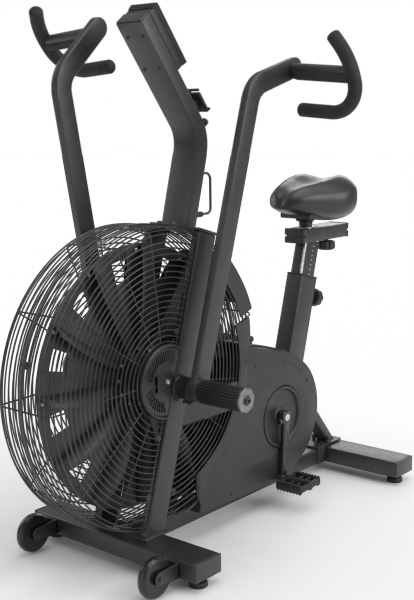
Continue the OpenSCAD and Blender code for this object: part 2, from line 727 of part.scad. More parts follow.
module wheel(s) color(rubber_black) side(s) translate([wheel_x, 0, wheel_z]) difference() {
    y_rod(wheel_r, -wheel_y - wheel_t / 2, -wheel_y + wheel_t / 2);
    y_rod(4 + run_gap, -wheel_y - 20, -wheel_y + 20);
    for (y = [-1, 1]) translate([0, -wheel_y + y * (wheel_t / 2 - 3), 0]) rotate([90, 0, 0])
        translate([0, 0, -3.5]) difference() {
            cylinder(r = 34, h = 7);
            translate([0, 0, -1]) cylinder(r = 12, h = 9);
        }
}
module wheel_left() wheel(-1);
module wheel_right() wheel(1);

// Arm, drawn upright about its pivot: shaft, lever, clamp and bent tube
arm_end = [arm_r - arm_r * cos(arm_bend) + arm_top_l * sin(arm_bend),
           arm_l + arm_r * sin(arm_bend) + arm_top_l * cos(arm_bend)];
module arm() {
    y_rod(shaft_r, -peg_out, -lever_in);
    difference() {
        y_rod(boss_r + 1, -arm_out, -arm_in);
        y_rod(shaft_r, -arm_out - 1, -arm_in + 1);
    }
    difference() {
        slab(-arm_out, -arm_in) polygon(strip(arm_l, arm_r, arm_bend, arm_top_l, arm_w, true));
        slab(-arm_out + wall, -arm_in - wall)
            polygon(strip(arm_l, arm_r, arm_bend, arm_top_l - 40, arm_w - 2 * wall));
        y_rod(boss_r + 1, -arm_out - 1, -arm_in + 1);
        translate([0, 0, 60]) y_rod(vent_r, -arm_in - 4, -arm_in + 1);
    }
    difference() {
        slab(-lever_out, -lever_in) polygon([[-18, 4], [18, 4], [11, -lever_l - 12], [-11, -lever_l - 12]]);
        translate([0, 0, -lever_l]) y_rod(5 + run_gap, -lever_out - 1, -lever_in + 1);
    }
    handle_plane() tube_path();
}

// The handle's plane is square to the arm's end: 2D x runs outboard and 2D y runs up
handle_up = 5;
handle_forward = 19;
module handle_plane() translate([arm_end[0], 0, arm_end[1]]) rotate([0, arm_bend - 90, 0])
    rotate([90, 0, -90]) translate([0, handle_up, handle_forward]) children();

module run(r, x0, x1) translate([x0, 0, 0]) rotate([0, 90, 0]) cylinder(r = r, h = x1 - x0);
module curve(r, bend_r, a) translate([0, bend_r, 0]) rotate([0, 0, -90])
    rotate_extrude(angle = a) translate([bend_r, 0]) circle(r = r);
module after_curve(bend_r, a)
    translate([0, bend_r, 0]) rotate([0, 0, a]) translate([0, -bend_r, 0]) children();

// Lower horn, long bend and upper horn of the handle, with a slim collar over each joint between them
horn_l = 95;
bend_1 = 72;
turn_1 = 100;
bend_2 = 190;
turn_2 = 28;
mid_l = 8;
tip_l = 26;
droop = -5;
stub_r = 10;
stub_grip_r = 15.5;
core_r = 12.5;
collar_l = 2;
module hook_path(r, gap, over = 0) translate([165, -110, 0]) rotate([0, 0, droop]) {
    run(r, -over, horn_l - gap);
    run(r + 0.5, horn_l - collar_l, horn_l + collar_l);
    translate([horn_l, 0, 0]) {
        curve(r, bend_1, turn_1);
        after_curve(bend_1, turn_1) {
            run(r + 0.5, -collar_l, mid_l + collar_l);
            translate([mid_l, 0, 0]) {
                curve(r, bend_2, turn_2);
                after_curve(bend_2, turn_2) {
                    run(r + 0.5, -collar_l, collar_l);
                    run(r, gap, tip_l + over);
                }
            }
        }
    }
}
module stub(r, x0, x1) translate([0, -1, 0]) rotate([0, 0, droop]) run(r, x0, x1);
module tube_path() {
    hook_path(core_r, 0.2);
    stub(stub_r, arm_out - 4, 334);
}

module grip() handle_plane() {
    difference() {
        hook_path(grip_r, 0.3, 4);
        hook_path(core_r + 0.1, 0.25);
        stub(stub_r + 0.1, 300, 334);
    }
    difference() {
        stub(stub_grip_r, arm_out + 4, 318);
        stub(stub_r + 0.1, arm_out, 340);
    }
}

module peg() {
    difference() {
        y_rod(28, -peg_out + 1, -peg_in);
        y_rod(shaft_r, -peg_out - 1, -peg_in + 1);
        for (a = [0:15:345]) rotate([0, a, 0]) translate([26.6, -peg_out, -1])
            cube([3, peg_out - peg_in - 6, 2]);
    }
    translate([0, -peg_out, 0]) rotate([90, 22.5, 0]) cylinder(r = 30, h = 7, $fn = 8);
    y_rod(9, -peg_out - 12, -peg_out - 7);
}

// Sets a left or right arm at its lean about the pivot
module at_pivot(s) side(s) translate([pivot_x, 0, pivot_z])
    rotate([0, s < 0 ? arm_left_lean : arm_right_lean, 0]) children();

module arm_left() color(frame_grey) at_pivot(-1) arm();
module arm_right() color(frame_grey) at_pivot(1) arm();
module grip_left() color(rubber_black) at_pivot(-1) grip();
module grip_right() color(rubber_black) at_pivot(1) grip();
module peg_left() color(rubber_black) at_pivot(-1) peg();
module peg_right() color(rubber_black) at_pivot(1) peg();

// Rod from the lever back towards the crank axle; its rear eye stops this short of the axle's middle, so
// that it stays clear of it while the arm swings
rod_short = 62;
module link_rod(lean) {
    eye = [pivot_x - lever_l * sin(lean), pivot_z - lever_l * cos(lean)];
    reach = [crank_x - rod_short - eye[0], crank_z - eye[1]];
    translate([eye[0], 0, eye[1]]) {
        y_rod(5, -lever_out - 3, -lever_in + 6);
        rotate([0, atan2(-reach[1], reach[0]), 0]) difference() {
            union() {
                translate([0, -lever_in + 0.5, -7]) cube([norm(reach), 5, 14]);
                y_rod(11, -lever_in + 0.5, -lever_in + 5.5);
                translate([norm(reach), 0, 0]) y_rod(13, -lever_in + 0.5, -lever_in + 5.5);
            }
            translate([norm(reach), 0, 0]) y_rod(11.5, -lever_in - 1, -lever_in + 8);
        }
    }
}
module link_rod_left() color(steel) link_rod(arm_left_lean);
module link_rod_right() color(steel) mirror([0, 1, 0]) link_rod(arm_right_lean);

// Seat post: inner tube with its slider rail welded on top
module seat_post() color(frame_grey) {
    difference() {
        seat_lean_at(440) translate([-inner_d / 2, -inner_w / 2, 0])
            cube([inner_d, inner_w, (seat_rail_z + 20 - 440) / cos(seat_lean)]);
        seat_lean_at(440) translate([-inner_d / 2 + wall, -inner_w / 2 + wall, -1])
            cube([inner_d - 2 * wall, inner_w - 2 * wall, 400]);
        seat_lean_at(470) translate([inner_d / 2 - 6, -5.2, 0]) cube([12, 10.4, 175]);
        y_box(600, 900, seat_rail_z, seat_rail_z + 60, -50, 50);
    }
    difference() {
        y_box(rail_front_x, seat_rail_rear_x, seat_rail_z, seat_rail_z + seat_rail_h,
              -seat_rail_w / 2, seat_rail_w / 2);
        y_box(rail_front_x + 5, seat_rail_rear_x - 5, seat_rail_z + 4, seat_rail_z + seat_rail_h - 4,
              -seat_rail_w / 2 + 4, seat_rail_w / 2 - 4);
        y_box(stub_x - 44, stub_x + 64, seat_rail_z + 10, seat_rail_z + 60, -19, 19);
        y_box(knob_stud_x - 32, knob_stud_x + 52, seat_rail_z - 10, seat_rail_z + 10, -7, 7);
        for (s = [-1, 1]) y_box(rail_front_x - 1, seat_rail_rear_x + 1, seat_rail_z + 16, seat_rail_z + 22,
            s * seat_rail_w / 2 - 1.5, s * seat_rail_w / 2 + 1.5);
    }
}

module seat_sleeve() color(plastic_grey) difference() {
    seat_lean_at(seat_top_z - 70) translate([-tube_d / 2 + wall + face_gap, -tube_w / 2 + wall + face_gap, 0])
        cube([tube_d - 2 * (wall + face_gap), tube_w - 2 * (wall + face_gap), 70 / cos(seat_lean)]);
    seat_lean_at(seat_top_z - 72) translate([-inner_d / 2 - 0.1, -inner_w / 2 - 0.1, 0])
        cube([inner_d + 0.2, inner_w + 0.2, 90]);
    seat_lean_at(pin_z) rotate([0, 90, 0]) cylinder(r = 9, h = 60);
}

// Sliding block inside the rail with the chrome stub that carries the saddle
module carriage() color(steel) {
    difference() {
        y_box(stub_x - 24, knob_stud_x + 24, seat_rail_z + 5, seat_rail_z + seat_rail_h - 5, -26, 26);
        translate([knob_stud_x, 0, seat_rail_z]) cylinder(r = 4 + run_gap, h = 30);
    }
    translate([stub_x, 0, seat_rail_z + seat_rail_h - 6])
        cylinder(r = 14, h = saddle_z - seat_rail_z - seat_rail_h + 8);
}

module saddle_base() color(plastic_grey) {
    difference() {
        translate([0, 0, saddle_z + 2]) linear_extrude(10) polygon(saddle_outline(0.9));
        translate([stub_x, 0, saddle_z]) cylinder(r = 14.1, h = 8);
    }
    difference() {
        translate([stub_x, 0, saddle_z - 12]) cylinder(r = 19, h = 14);
        translate([stub_x, 0, saddle_z - 13]) cylinder(r = 14, h = 20);
    }
}

module saddle_pad() color(rubber_black) translate([0, 0, saddle_z + 12.2])
    linear_extrude(saddle_top - saddle_z - 12.2) polygon(saddle_outline(1));

// Plan view of the saddle: a rounded nose that swells to a wide rear
function saddle_half(u) = let (w = 0.40 + 0.60 * pow(sin(90 * min(1, u / 0.42)), 1.5))
    saddle_w / 2 * w * sqrt(max(0, 1 - pow(2 * u - 1, 6)));
function saddle_outline(k) = let (n = 28, mx = saddle_x + saddle_l / 2) concat(
    [for (i = [0:n]) let (u = i / n) [mx + k * (u - 0.5) * saddle_l, -k * saddle_half(u)]],
    [for (i = [1:n - 1]) let (u = 1 - i / n) [mx + k * (u - 0.5) * saddle_l, k * saddle_half(u)]]);

// Pull pin for the height, and the clamp knob for the fore-and-aft slide
module height_knob() color(rubber_black) seat_lean_at(pin_z) rotate([0, 90, 0]) {
    translate([0, 0, inner_d / 2 - 4]) cylinder(r = 5, h = 26);
    translate([0, 0, tube_d / 2 + 3]) cylinder(r = 7.5, h = 28);
    translate([0, 0, tube_d / 2 + 30]) cylinder(r = 26, h = 26);
}
module fore_aft_knob() color(rubber_black) translate([knob_stud_x, 0, 0]) {
    translate([0, 0, seat_rail_z - 12]) cylinder(r = 4, h = 34);
    translate([0, 0, seat_rail_z - 36]) cylinder(r = 26, h = 26);
}

// Levelling foot: rubber pad on a threaded stud
module foot(x, y) color(rubber_black) translate([x, y, 0]) {
    cylinder(r = foot_pad_r, h = foot_pad_h - 4);
    translate([0, 0, foot_pad_h - 4]) cylinder(r1 = foot_pad_r, r2 = foot_pad_r - 5, h = 4);
    cylinder(r = 5, h = stab_z + 12);
}
module foot_front_left() foot(front_stab_x, -front_stab_l / 2 + foot_inset);
module foot_front_right() foot(front_stab_x, front_stab_l / 2 - foot_inset);
module foot_rear_left() foot(rear_stab_x, -rear_stab_l / 2 + foot_inset);
module foot_rear_right() foot(rear_stab_x, rear_stab_l / 2 - foot_inset);

placed() front_stabilizer();
placed() rear_stabilizer();
placed() main_rail();
placed() leg_left();
placed() leg_right();
placed() console_post();
placed() seat_tube();
placed() rear_socket();
placed() bottom_bracket();
placed() axle_brackets();
placed() pivot_housings();
placed() bearings();
placed() fan_axle();
placed() cage_left();
placed() cage_right();
placed() cage_band();
placed() leg_covers();
placed() casing_left();
placed() casing_right();
placed() casing_top();
placed() rear_fender();
placed() frame_bolts();
placed() drive_belt();
placed() console_housing();
placed() console_bezel();
placed() console_screen();
placed() bottle_hook();
placed() phone_base();
placed() seat_sleeve();
placed() button_start();
placed() phone_jaw();
placed() phone_knob();
placed() crank_axle();
placed() drive_pulley();
placed() crank_left();
placed() crank_right();
placed() crank_discs();
placed() pedal_left();
placed() pedal_right();
placed() fan_wheel();
placed() wheel_left();
placed() wheel_right();
placed() arm_left();
placed() arm_right();
placed() link_rod_left();
placed() link_rod_right();
placed() grip_left();
placed() grip_right();
placed() peg_left();
placed() peg_right();
placed() seat_post();
placed() carriage();
placed() saddle_base();
placed() saddle_pad();
placed() height_knob();
placed() fore_aft_knob();
placed() foot_front_left();
placed() foot_front_right();
placed() foot_rear_left();
placed() foot_rear_right();
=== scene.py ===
from math import asin, atan2, copysign, cos, degrees, exp, pi, radians, sin, sqrt, tan

import bmesh
import bpy
from mathutils import Matrix, Vector


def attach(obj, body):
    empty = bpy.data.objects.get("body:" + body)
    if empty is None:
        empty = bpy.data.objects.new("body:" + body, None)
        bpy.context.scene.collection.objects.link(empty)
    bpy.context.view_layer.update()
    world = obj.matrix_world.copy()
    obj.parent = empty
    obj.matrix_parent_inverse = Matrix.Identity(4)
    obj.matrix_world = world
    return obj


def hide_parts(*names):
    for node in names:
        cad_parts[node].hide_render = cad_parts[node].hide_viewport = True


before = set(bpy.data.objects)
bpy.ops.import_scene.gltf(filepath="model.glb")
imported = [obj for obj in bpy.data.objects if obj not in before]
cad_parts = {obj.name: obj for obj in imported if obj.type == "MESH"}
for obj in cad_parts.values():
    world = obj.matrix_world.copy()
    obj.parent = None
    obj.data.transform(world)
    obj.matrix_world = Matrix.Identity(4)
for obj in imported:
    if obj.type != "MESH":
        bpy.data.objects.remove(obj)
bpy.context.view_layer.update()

# Sizes are in millimetres. Lengths along X run rearward from the fan axle; MID puts them in the row frame.
MM = 0.001
MID = 259.5
FAN_Z = 450
LEG_LEAN = 16.4
LEG_FRONT = 25.9
LEG_REAR = 89.4
LEG_OUT = 92.5
LEG_IN = 67.5
CROWN = 375
PIVOT_X, PIVOT_Z = 47, 428
CRANK_X, CRANK_Z, CRANK_L = 476, 252, 175
CRANK_LEAN = 4
WHEEL_X, WHEEL_Y, WHEEL_Z = -180, 207, 50
SEAT_FOOT_X, SEAT_LEAN = 547, 15.9
POST_BEND = 52.4
MIRROR = Matrix.Scale(-1, 4, (0, 1, 0))
SIDE = Matrix.Rotation(radians(90), 4, "X")
FLAT = Matrix.Identity(4)
OVER = Matrix.Rotation(pi, 4, "X")
WIRE_R = 1.5
WIRE_SIDES = 6
SIDES = ((-1, "left", FLAT), (1, "right", MIRROR))


def move(x=0, y=0, z=0):
    return Matrix.Translation((x, y, z))


def lean(angle):
    return Matrix.Rotation(radians(angle), 4, "Y")


def arc(cx, cy, r, a0, a1, n=16):
    angles = [radians(a0 + (a1 - a0) * i / n) for i in range(n + 1)]
    return [(cx + r * cos(a), cy + r * sin(a)) for a in angles]


def circle(cx, cy, r, n):
    return arc(cx, cy, r, 0, 360, n)[:-1]


def oval(cx, cy, w, h, n=8):
    """A slot with round ends, w wide and h tall."""
    r = min(w, h) / 2
    dx, dy = w / 2 - r, h / 2 - r
    points = []
    for sx, sy, a in ((1, 1, 0), (-1, 1, 90), (-1, -1, 180), (1, -1, 270)):
        points += arc(cx + sx * dx, cy + sy * dy, r, a, a + 90, n)
    return points


def round_rect(x0, x1, y0, y1, r, n=5):
    points = []
    corners = ((x1 - r, y1 - r), (x0 + r, y1 - r), (x0 + r, y0 + r), (x1 - r, y0 + r))
    for (cx, cy), a in zip(corners, (0, 90, 180, 270)):
        points += arc(cx, cy, r, a, a + 90, n)
    return points


def rounded(points, r, n=4):
    """The same outline with its sharp corners turned into arcs of about radius r."""
    out = []
    count = len(points)
    for i, p in enumerate(points):
        a, b, c = Vector(points[i - 1]), Vector(p), Vector(points[(i + 1) % count])
        u, w = a - b, c - b
        if u.length < 1e-6 or w.length < 1e-6:
            continue
        bend = pi - u.angle(w)
        if bend < 0.3:
            out.append(tuple(b))
            continue
        cut = min(r * tan(bend / 2), u.length * 0.45, w.length * 0.45)
        start, end = b + u.normalized() * cut, b + w.normalized() * cut
        for k in range(n + 1):
            t = k / n
            out.append(tuple(start.lerp(b, t).lerp(b.lerp(end, t), t)))
    return out


def strip(l1, r, bend, l2, w, round_end=False):
    """Outline of a bar that runs up, bends towards +X and runs on."""
    b = radians(bend)
    along = Vector((sin(b), cos(b)))
    end = Vector((r - r * cos(b), l1 + r * sin(b))) + along * l2
    across = Vector((-cos(b), sin(b))) * w / 2
    square = [tuple(end + across), tuple(end - across)]
    head = arc(*end, w / 2, 180 - bend, -bend, 16) if round_end else square
    return ([(-w / 2, 0)] + arc(r, l1, r + w / 2, 180, 180 - bend, 24) + head
            + arc(r, l1, r - w / 2, 180 - bend, 180, 24) + [(w / 2, 0)])


def smooth_step(t):
    t = min(1, max(0, t))
    return t * t * (3 - 2 * t)


def table_value(table, x):
    """Reads a curve given as (x, value) pairs, with straight lines between them."""
    for (x0, v0), (x1, v1) in zip(table, table[1:]):
        if x <= x1:
            return v0 + (v1 - v0) * min(1, max(0, (x - x0) / (x1 - x0)))
    return table[-1][1]


class Shape:
    """Collects the parts of one piece, in millimetres, and makes one mesh of them."""

    def __init__(self):
        self.verts = []
        self.faces = []

    def add(self, verts, faces, m=None):
        base = len(self.verts)
        self.verts += [m @ Vector(v) if m else Vector(v) for v in verts]
        self.faces += [[base + i for i in f] for f in faces]
        return self

    def prism(self, loops, t0, t1, bevel=1.0, m=SIDE):
        """Extrudes an outline, with any holes, from t0 to t1 along the matrix's Z, with rounded edges."""
        curve = bpy.data.curves.new("outline", "CURVE")
        curve.dimensions = "2D"
        curve.fill_mode = "BOTH"
        curve.extrude = (t1 - t0) / 2 - bevel
        curve.bevel_depth = bevel
        curve.bevel_resolution = 2
        curve.offset = -bevel
        for loop in loops:
            spline = curve.splines.new("POLY")
            spline.points.add(len(loop) - 1)
            for point, (x, y) in zip(spline.points, loop):
                point.co = (x, y, 0, 1)
            spline.use_cyclic_u = True
        holder = bpy.data.objects.new("outline", curve)
        bpy.context.scene.collection.objects.link(holder)
        bpy.context.view_layer.update()
        mesh = bpy.data.meshes.new_from_object(holder.evaluated_get(bpy.context.evaluated_depsgraph_get()))
        place = m @ move(0, 0, (t0 + t1) / 2)
        self.add([v.co.copy() for v in mesh.vertices], [list(p.vertices) for p in mesh.polygons], place)
        bpy.data.objects.remove(holder)
        bpy.data.curves.remove(curve)
        bpy.data.meshes.remove(mesh)
        return self

    def box(self, x0, x1, y0, y1, z0, z1, bevel=1.0, m=None, segments=3):
        bm = bmesh.new()
        bmesh.ops.create_cube(bm, size=1)
        for v in bm.verts:
            v.co = Vector(((x0 + x1) / 2 + v.co.x * (x1 - x0), (y0 + y1) / 2 + v.co.y * (y1 - y0),
                           (z0 + z1) / 2 + v.co.z * (z1 - z0)))
        bmesh.ops.bevel(bm, geom=list(bm.edges), offset=bevel, segments=segments, profile=0.5, affect="EDGES")
        bm.verts.ensure_lookup_table()
        self.add([v.co.copy() for v in bm.verts], [[v.index for v in f.verts] for f in bm.faces], m)
        bm.free()
        return self

    def rings(self, rows, m=None, closed=False):
        """Skins a run of equal rings of points; both ends are closed unless the run meets itself."""
        n, k = len(rows), len(rows[0])
        faces = []
        for i in range(n if closed else n - 1):
            a, b = i * k, (i + 1) % n * k
            faces += [[a + j, a + (j + 1) % k, b + (j + 1) % k, b + j] for j in range(k)]
        if not closed:
            faces += [list(range(k)), [(n - 1) * k + j for j in range(k)]]
        return self.add([point for row in rows for point in row], faces, m)

    def lathe(self, profile, m, segments=48):
        """Turns (radius, height) points about the matrix's Z axis."""
        angles = [2 * pi * i / segments for i in range(segments)]
        return self.rings([[(r * cos(a), r * sin(a), h) for a in angles] for r, h in profile], m)

    def turned(self, profile, m, segments=48):
        """A lathe shape whose two ends are flat and closed at the axis."""
        return self.lathe([(0.1, profile[0][1])] + profile + [(0.1, profile[-1][1])], m, segments)

    def tube(self, path, radius, segments=10, closed=False, m=None):
        """Sweeps a circle along a path; radius may be one number or one for each point."""
        points = [Vector(p) for p in path]
        n = len(points)
        radii = radius if isinstance(radius, list) else [radius] * n
        angles = [2 * pi * k / segments for k in range(segments)]
        rows = []
        normal = None
        for i, p in enumerate(points):
            ahead = points[(i + 1) % n] if closed or i < n - 1 else p
            behind = points[i - 1] if closed or i > 0 else p
            tangent = (ahead - behind).normalized()
            if normal is None:
                normal = tangent.orthogonal().normalized()
            normal = (normal - tangent * normal.dot(tangent)).normalized()
            other = tangent.cross(normal)
            rows.append([p + (normal * cos(a) + other * sin(a)) * radii[i] for a in angles])
        return self.rings(rows, m, closed)

    def merge(self, other, m=None):
        return self.add(other.verts, other.faces, m)

    def build(self, name, material, body="frame", replaces=(), smooth=40):
        mesh = bpy.data.meshes.new(name)
        row = [((v.x - MID) * MM, v.y * MM, v.z * MM) for v in self.verts]
        mesh.from_pydata(row, [], self.faces)
        bm = bmesh.new()
        bm.from_mesh(mesh)
        bmesh.ops.remove_doubles(bm, verts=bm.verts, dist=1e-6)
        bmesh.ops.recalc_face_normals(bm, faces=bm.faces)
        bm.to_mesh(mesh)
        bm.free()
        mesh.polygons.foreach_set("use_smooth", [True] * len(mesh.polygons))
        mesh.set_sharp_from_angle(angle=radians(smooth))
        piece = bpy.data.objects.new(name, mesh)
        bpy.context.scene.collection.objects.link(piece)
        mesh.materials.append(material)
        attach(piece, body)
        if replaces:
            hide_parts(*replaces)
        return piece


# ---------------------------------------------------------------- materials

def surface(name, color, roughness, metallic=0.0, grain=900, bump=0.15, spread=0.25, wear=0.0,
            wear_color=None, coat=0.0, stretch=(1, 1, 1), blotch=14):
    """A paint, plastic or metal with a fine grain, uneven gloss, faint blotches and worn edges."""
    mat = bpy.data.materials.new(name)
    mat.use_nodes = True
    nodes, links = mat.node_tree.nodes, mat.node_tree.links
    bsdf = nodes["Principled BSDF"]
    bsdf.inputs["Metallic"].default_value = metallic
    bsdf.inputs["Coat Weight"].default_value = coat
    bsdf.inputs["Coat Roughness"].default_value = 0.25
    place = nodes.new("ShaderNodeTexCoord")
    scale = nodes.new("ShaderNodeMapping")
    scale.inputs["Scale"].default_value = stretch
    links.new(place.outputs["Object"], scale.inputs["Vector"])

    def noise(size, detail):
        node = nodes.new("ShaderNodeTexNoise")
        node.inputs["Scale"].default_value = size
        node.inputs["Detail"].default_value = detail
        links.new(scale.outputs["Vector"], node.inputs["Vector"])
        return node.outputs["Fac"]

    def remap(value, low, high, from_low=0.3, from_high=0.7):
        node = nodes.new("ShaderNodeMapRange")
        node.inputs["From Min"].default_value = from_low
        node.inputs["From Max"].default_value = from_high
        node.inputs["To Min"].default_value = low
        node.inputs["To Max"].default_value = high
        links.new(value, node.inputs["Value"])
        return node.outputs["Result"]

    def blend_color(factor, a, b):
        node = nodes.new("ShaderNodeMix")
        node.data_type = "RGBA"
        links.new(factor, node.inputs["Factor"])
        for value, socket in ((a, node.inputs["A"]), (b, node.inputs["B"])):
            if isinstance(value, tuple):
                socket.default_value = (*value, 1)
            else:
                links.new(value, socket)
        return node.outputs["Result"]

    broad = noise(blotch, 4)
    fine = noise(grain, 3)
    dark = tuple(c * (1 - spread) for c in color)
    light = tuple(min(1, c * (1 + spread) + 0.002) for c in color)
    tone = blend_color(remap(broad, 0, 1), dark, light)
    if wear:
        geometry = nodes.new("ShaderNodeNewGeometry")
        edge = remap(geometry.outputs["Pointiness"], 0, wear, 0.52, 0.62)
        tone = blend_color(edge, tone, wear_color or tuple(min(1, c * 3 + 0.03) for c in color))
    links.new(tone, bsdf.inputs["Base Color"])
    gloss = remap(noise(blotch * 4, 5), roughness * 0.85, min(1, roughness * 1.18))
    links.new(gloss, bsdf.inputs["Roughness"])
    dent = nodes.new("ShaderNodeBump")
    dent.inputs["Strength"].default_value = bump
    dent.inputs["Distance"].default_value = 0.0004
    links.new(fine, dent.inputs["Height"])
    links.new(dent.outputs["Normal"], bsdf.inputs["Normal"])
    return mat


def light_surface(name, color, strength):
    """A softly lit display segment."""
    mat = surface(name, color, 0.4)
    mat.node_tree.nodes["Principled BSDF"].inputs["Emission Color"].default_value = (*color, 1)
    mat.node_tree.nodes["Principled BSDF"].inputs["Emission Strength"].default_value = strength
    return mat


coat_paint = surface("powder_coat", (0.0165, 0.0168, 0.0180), 0.38, grain=1500, bump=0.18, wear=0.35,
                     wear_color=(0.12, 0.12, 0.13), coat=0.06)
wire_paint = surface("cage_wire_coat", (0.055, 0.055, 0.058), 0.30, metallic=0.45, grain=1200, bump=0.08)
fan_paint = surface("fan_sheet_coat", (0.036, 0.037, 0.040), 0.36, metallic=0.4, grain=900, bump=0.08,
                    wear=0.3)
# Painted shade: the fins get a darker, duller coat than the fan plates, standing for the shade inside the
# fan.
painted_shade_fin_paint = surface("fan_fin_coat_painted_shade", (0.018, 0.018, 0.019), 0.5, grain=900, bump=0.1)
casing_plastic = surface("casing_plastic", (0.0165, 0.0166, 0.017), 0.44, grain=2200, bump=0.3, spread=0.15)
cover_plastic = surface("cover_plastic", (0.0145, 0.0145, 0.015), 0.42, grain=1800, bump=0.2, spread=0.15)
console_plastic = surface("console_plastic", (0.0185, 0.0185, 0.020), 0.5, grain=2000, bump=0.3, spread=0.15)
crank_paint = surface("crank_enamel", (0.012, 0.012, 0.013), 0.26, grain=700, bump=0.06, wear=0.5,
                      wear_color=(0.10, 0.10, 0.10), coat=0.3)
nylon = surface("pedal_nylon", (0.0075, 0.0075, 0.008), 0.55, grain=1300, bump=0.3, wear=0.25,
                wear_color=(0.03, 0.03, 0.03))
rubber = surface("rubber", (0.014, 0.014, 0.014), 0.62, grain=1600, bump=0.35)
tyre_rubber = surface("wheel_polyurethane", (0.010, 0.010, 0.010), 0.24, grain=500, bump=0.05)
foam = surface("grip_foam", (0.016, 0.016, 0.017), 0.8, grain=2600, bump=0.7, spread=0.3)
leatherette = surface("saddle_leatherette", (0.013, 0.013, 0.0135), 0.36, grain=1100, bump=0.3, spread=0.2,
                      coat=0.1)
zinc = surface("zinc_hardware", (0.55, 0.55, 0.56), 0.32, metallic=1.0, grain=600, bump=0.12, spread=0.12)
chrome = surface("chrome", (0.80, 0.80, 0.82), 0.09, metallic=1.0, grain=300, bump=0.02, spread=0.05)
dark_steel = surface("blackened_hardware", (0.05, 0.05, 0.052), 0.35, metallic=0.8, grain=700, bump=0.1,
                     wear=0.4)
brushed = surface("brushed_cap", (0.22, 0.22, 0.225), 0.4, metallic=0.9, grain=400, bump=0.2,
                  stretch=(1, 1, 12))
bare_strip = surface("bare_steel_strip", (0.82, 0.82, 0.84), 0.22, metallic=0.9, grain=500, bump=0.1,
                     stretch=(12, 12, 1))
mark_paint = surface("height_mark_paint", (0.65, 0.42, 0.04), 0.5, grain=800, bump=0.1)
screen = surface("display_window", (0.045, 0.055, 0.05), 0.12, grain=300, bump=0.01, coat=0.8)
segment = light_surface("display_segments", (0.32, 0.38, 0.34), 0.12)
belt = surface("belt_rubber", (0.015, 0.015, 0.015), 0.7, grain=900, bump=0.4)


# ---------------------------------------------------------------- base

def bolt_head(shape, m, r=6, h=4):
    """A hexagon head on a washer; the matrix's Z points out of the surface."""
    shape.turned([(r * 1.35, -1), (r * 1.35, 0.6), (r * 1.25, 1.2)], m, 32)
    shape.turned([(r, 1), (r, 1 + h * 0.8), (r * 0.85, 1 + h)], m, 6)


def socket_head(shape, m, r=6, h=4):
    profile = [(0.1, -1), (r, -1), (r, h * 0.8), (r * 0.86, h), (r * 0.5, h), (r * 0.5, h * 0.4)]
    shape.lathe(profile + [(0.1, h * 0.4)], m, 32)


def stabiliser(x, length):
    s = Shape()
    s.box(x - 46, x + 46, -length / 2 + 4, length / 2 - 4, 27, 73, 5, segments=4)
    for end in (-1, 1):
        y0, y1 = sorted((end * (length / 2 - 4.6), end * length / 2))
        s.box(x - 45.4, x + 45.4, y0, y1, 27.6, 72.4, 1.5)
    return s


def wheel_bracket(m):
    s = Shape()
    x, z, y = WHEEL_X, WHEEL_Z, WHEEL_Y
    for off in (-17, 17):
        tip = arc(x, z, 16, 270, 90, 12)
        outline = [(-116, 31), (-116, 69)] + [(x + 22, z + 17)] + list(reversed(tip)) + [(x + 22, z - 17)]
        s.prism([rounded(outline, 4)], y + off - 2, y + off + 2, 0.7, m @ SIDE)
    s.box(-122, -115.8, -y - 19, -y + 19, 31, 69, 1.5, m)
    s.turned([(4, y - 21), (4, y + 21)], m @ move(x, 0, z) @ SIDE, 24)
    return s


def weld_bead(shape, m, x0, x1, y0, y1, z, r=2.6):
    """A rippled bead round a rectangle."""
    ring = round_rect(x0, x1, y0, y1, 4, 3)
    path = []
    for i in range(len(ring)):
        a, b = Vector(ring[i]), Vector(ring[(i + 1) % len(ring)])
        steps = max(1, int((b - a).length / 1.6))
        path += [a.lerp(b, k / steps) for k in range(steps)]
    radii = [r * (1 + 0.16 * sin(i * 1.9)) for i in range(len(path))]
    shape.tube([(p.x, p.y, z) for p in path], radii, 8, True, m)


def base():
    front = stabiliser(-70, 550)
    for _, _, m in SIDES:
        front.merge(wheel_bracket(m))
    front.build("front_bar", coat_paint, "frame", ["front_stabilizer"])
    rear = stabiliser(826, 563)
    rear.build("rear_bar", coat_paint, "frame", ["rear_stabilizer"])
    rail = Shape().box(-24, 780, -30, 30, 29, 75, 5, segments=4)
    rail.build("rail", coat_paint, "frame", ["main_rail"])
    clamp = Shape().box(740, 868, -34, 34, 75, 80.5, 1.5)
    for side in (-1, 1):
        clamp.box(740, 780, side * 32.2 - 1.9, side * 32.2 + 1.9, 29, 76, 1)
    weld_bead(clamp, FLAT, 812, 850, -20, 20, 80.5)
    clamp.build("rail_clamp", coat_paint, "frame", ["rear_socket"])
    hardware = Shape()
    for y in (-27.5, 27.5):
        m = move(808, y, 80.5)
        hardware.turned([(7.4, -1), (7.4, 1), (6.8, 1.6)], m, 32)
        hardware.turned([(6.6, 1.5), (6.6, 8), (6, 9)], m, 6)
        hardware.lathe([(6, 8)] + [(r, 8 + h) for r, h in arc(0, 3, 6, 0, 88, 8)], m, 24)
    hardware.build("rail_clamp_nuts", dark_steel)


def leg_matrix():
    """Local X runs rearward square to the leg, and local Z up along it, from the fan axle."""
    return move(0, 0, FAN_Z) @ lean(LEG_LEAN)


def legs():
    for _, side, m in SIDES:
        s = Shape()
        s.box(LEG_FRONT, LEG_REAR, -LEG_OUT, -LEG_IN, -402, CROWN, 5, m @ leg_matrix(), 4)
        s.box(-91, -7, -98.5, -61.5, 73, 78, 1.5, m)
        weld_bead(s, m, -85.5, -19.5, -93.5, -66.5, 78.2)
        s.build("leg_" + side + "_tube", coat_paint, "frame", ["leg_" + side])


def post_place(along=0):
    return (move(155, 0, 805) @ lean(15) @ move(-90, 0, 187) @ lean(-POST_BEND) @ move(90 + 19, 0, along))


def knob_place():
    return post_place(-42) @ move(0, -12, 4) @ lean(90)


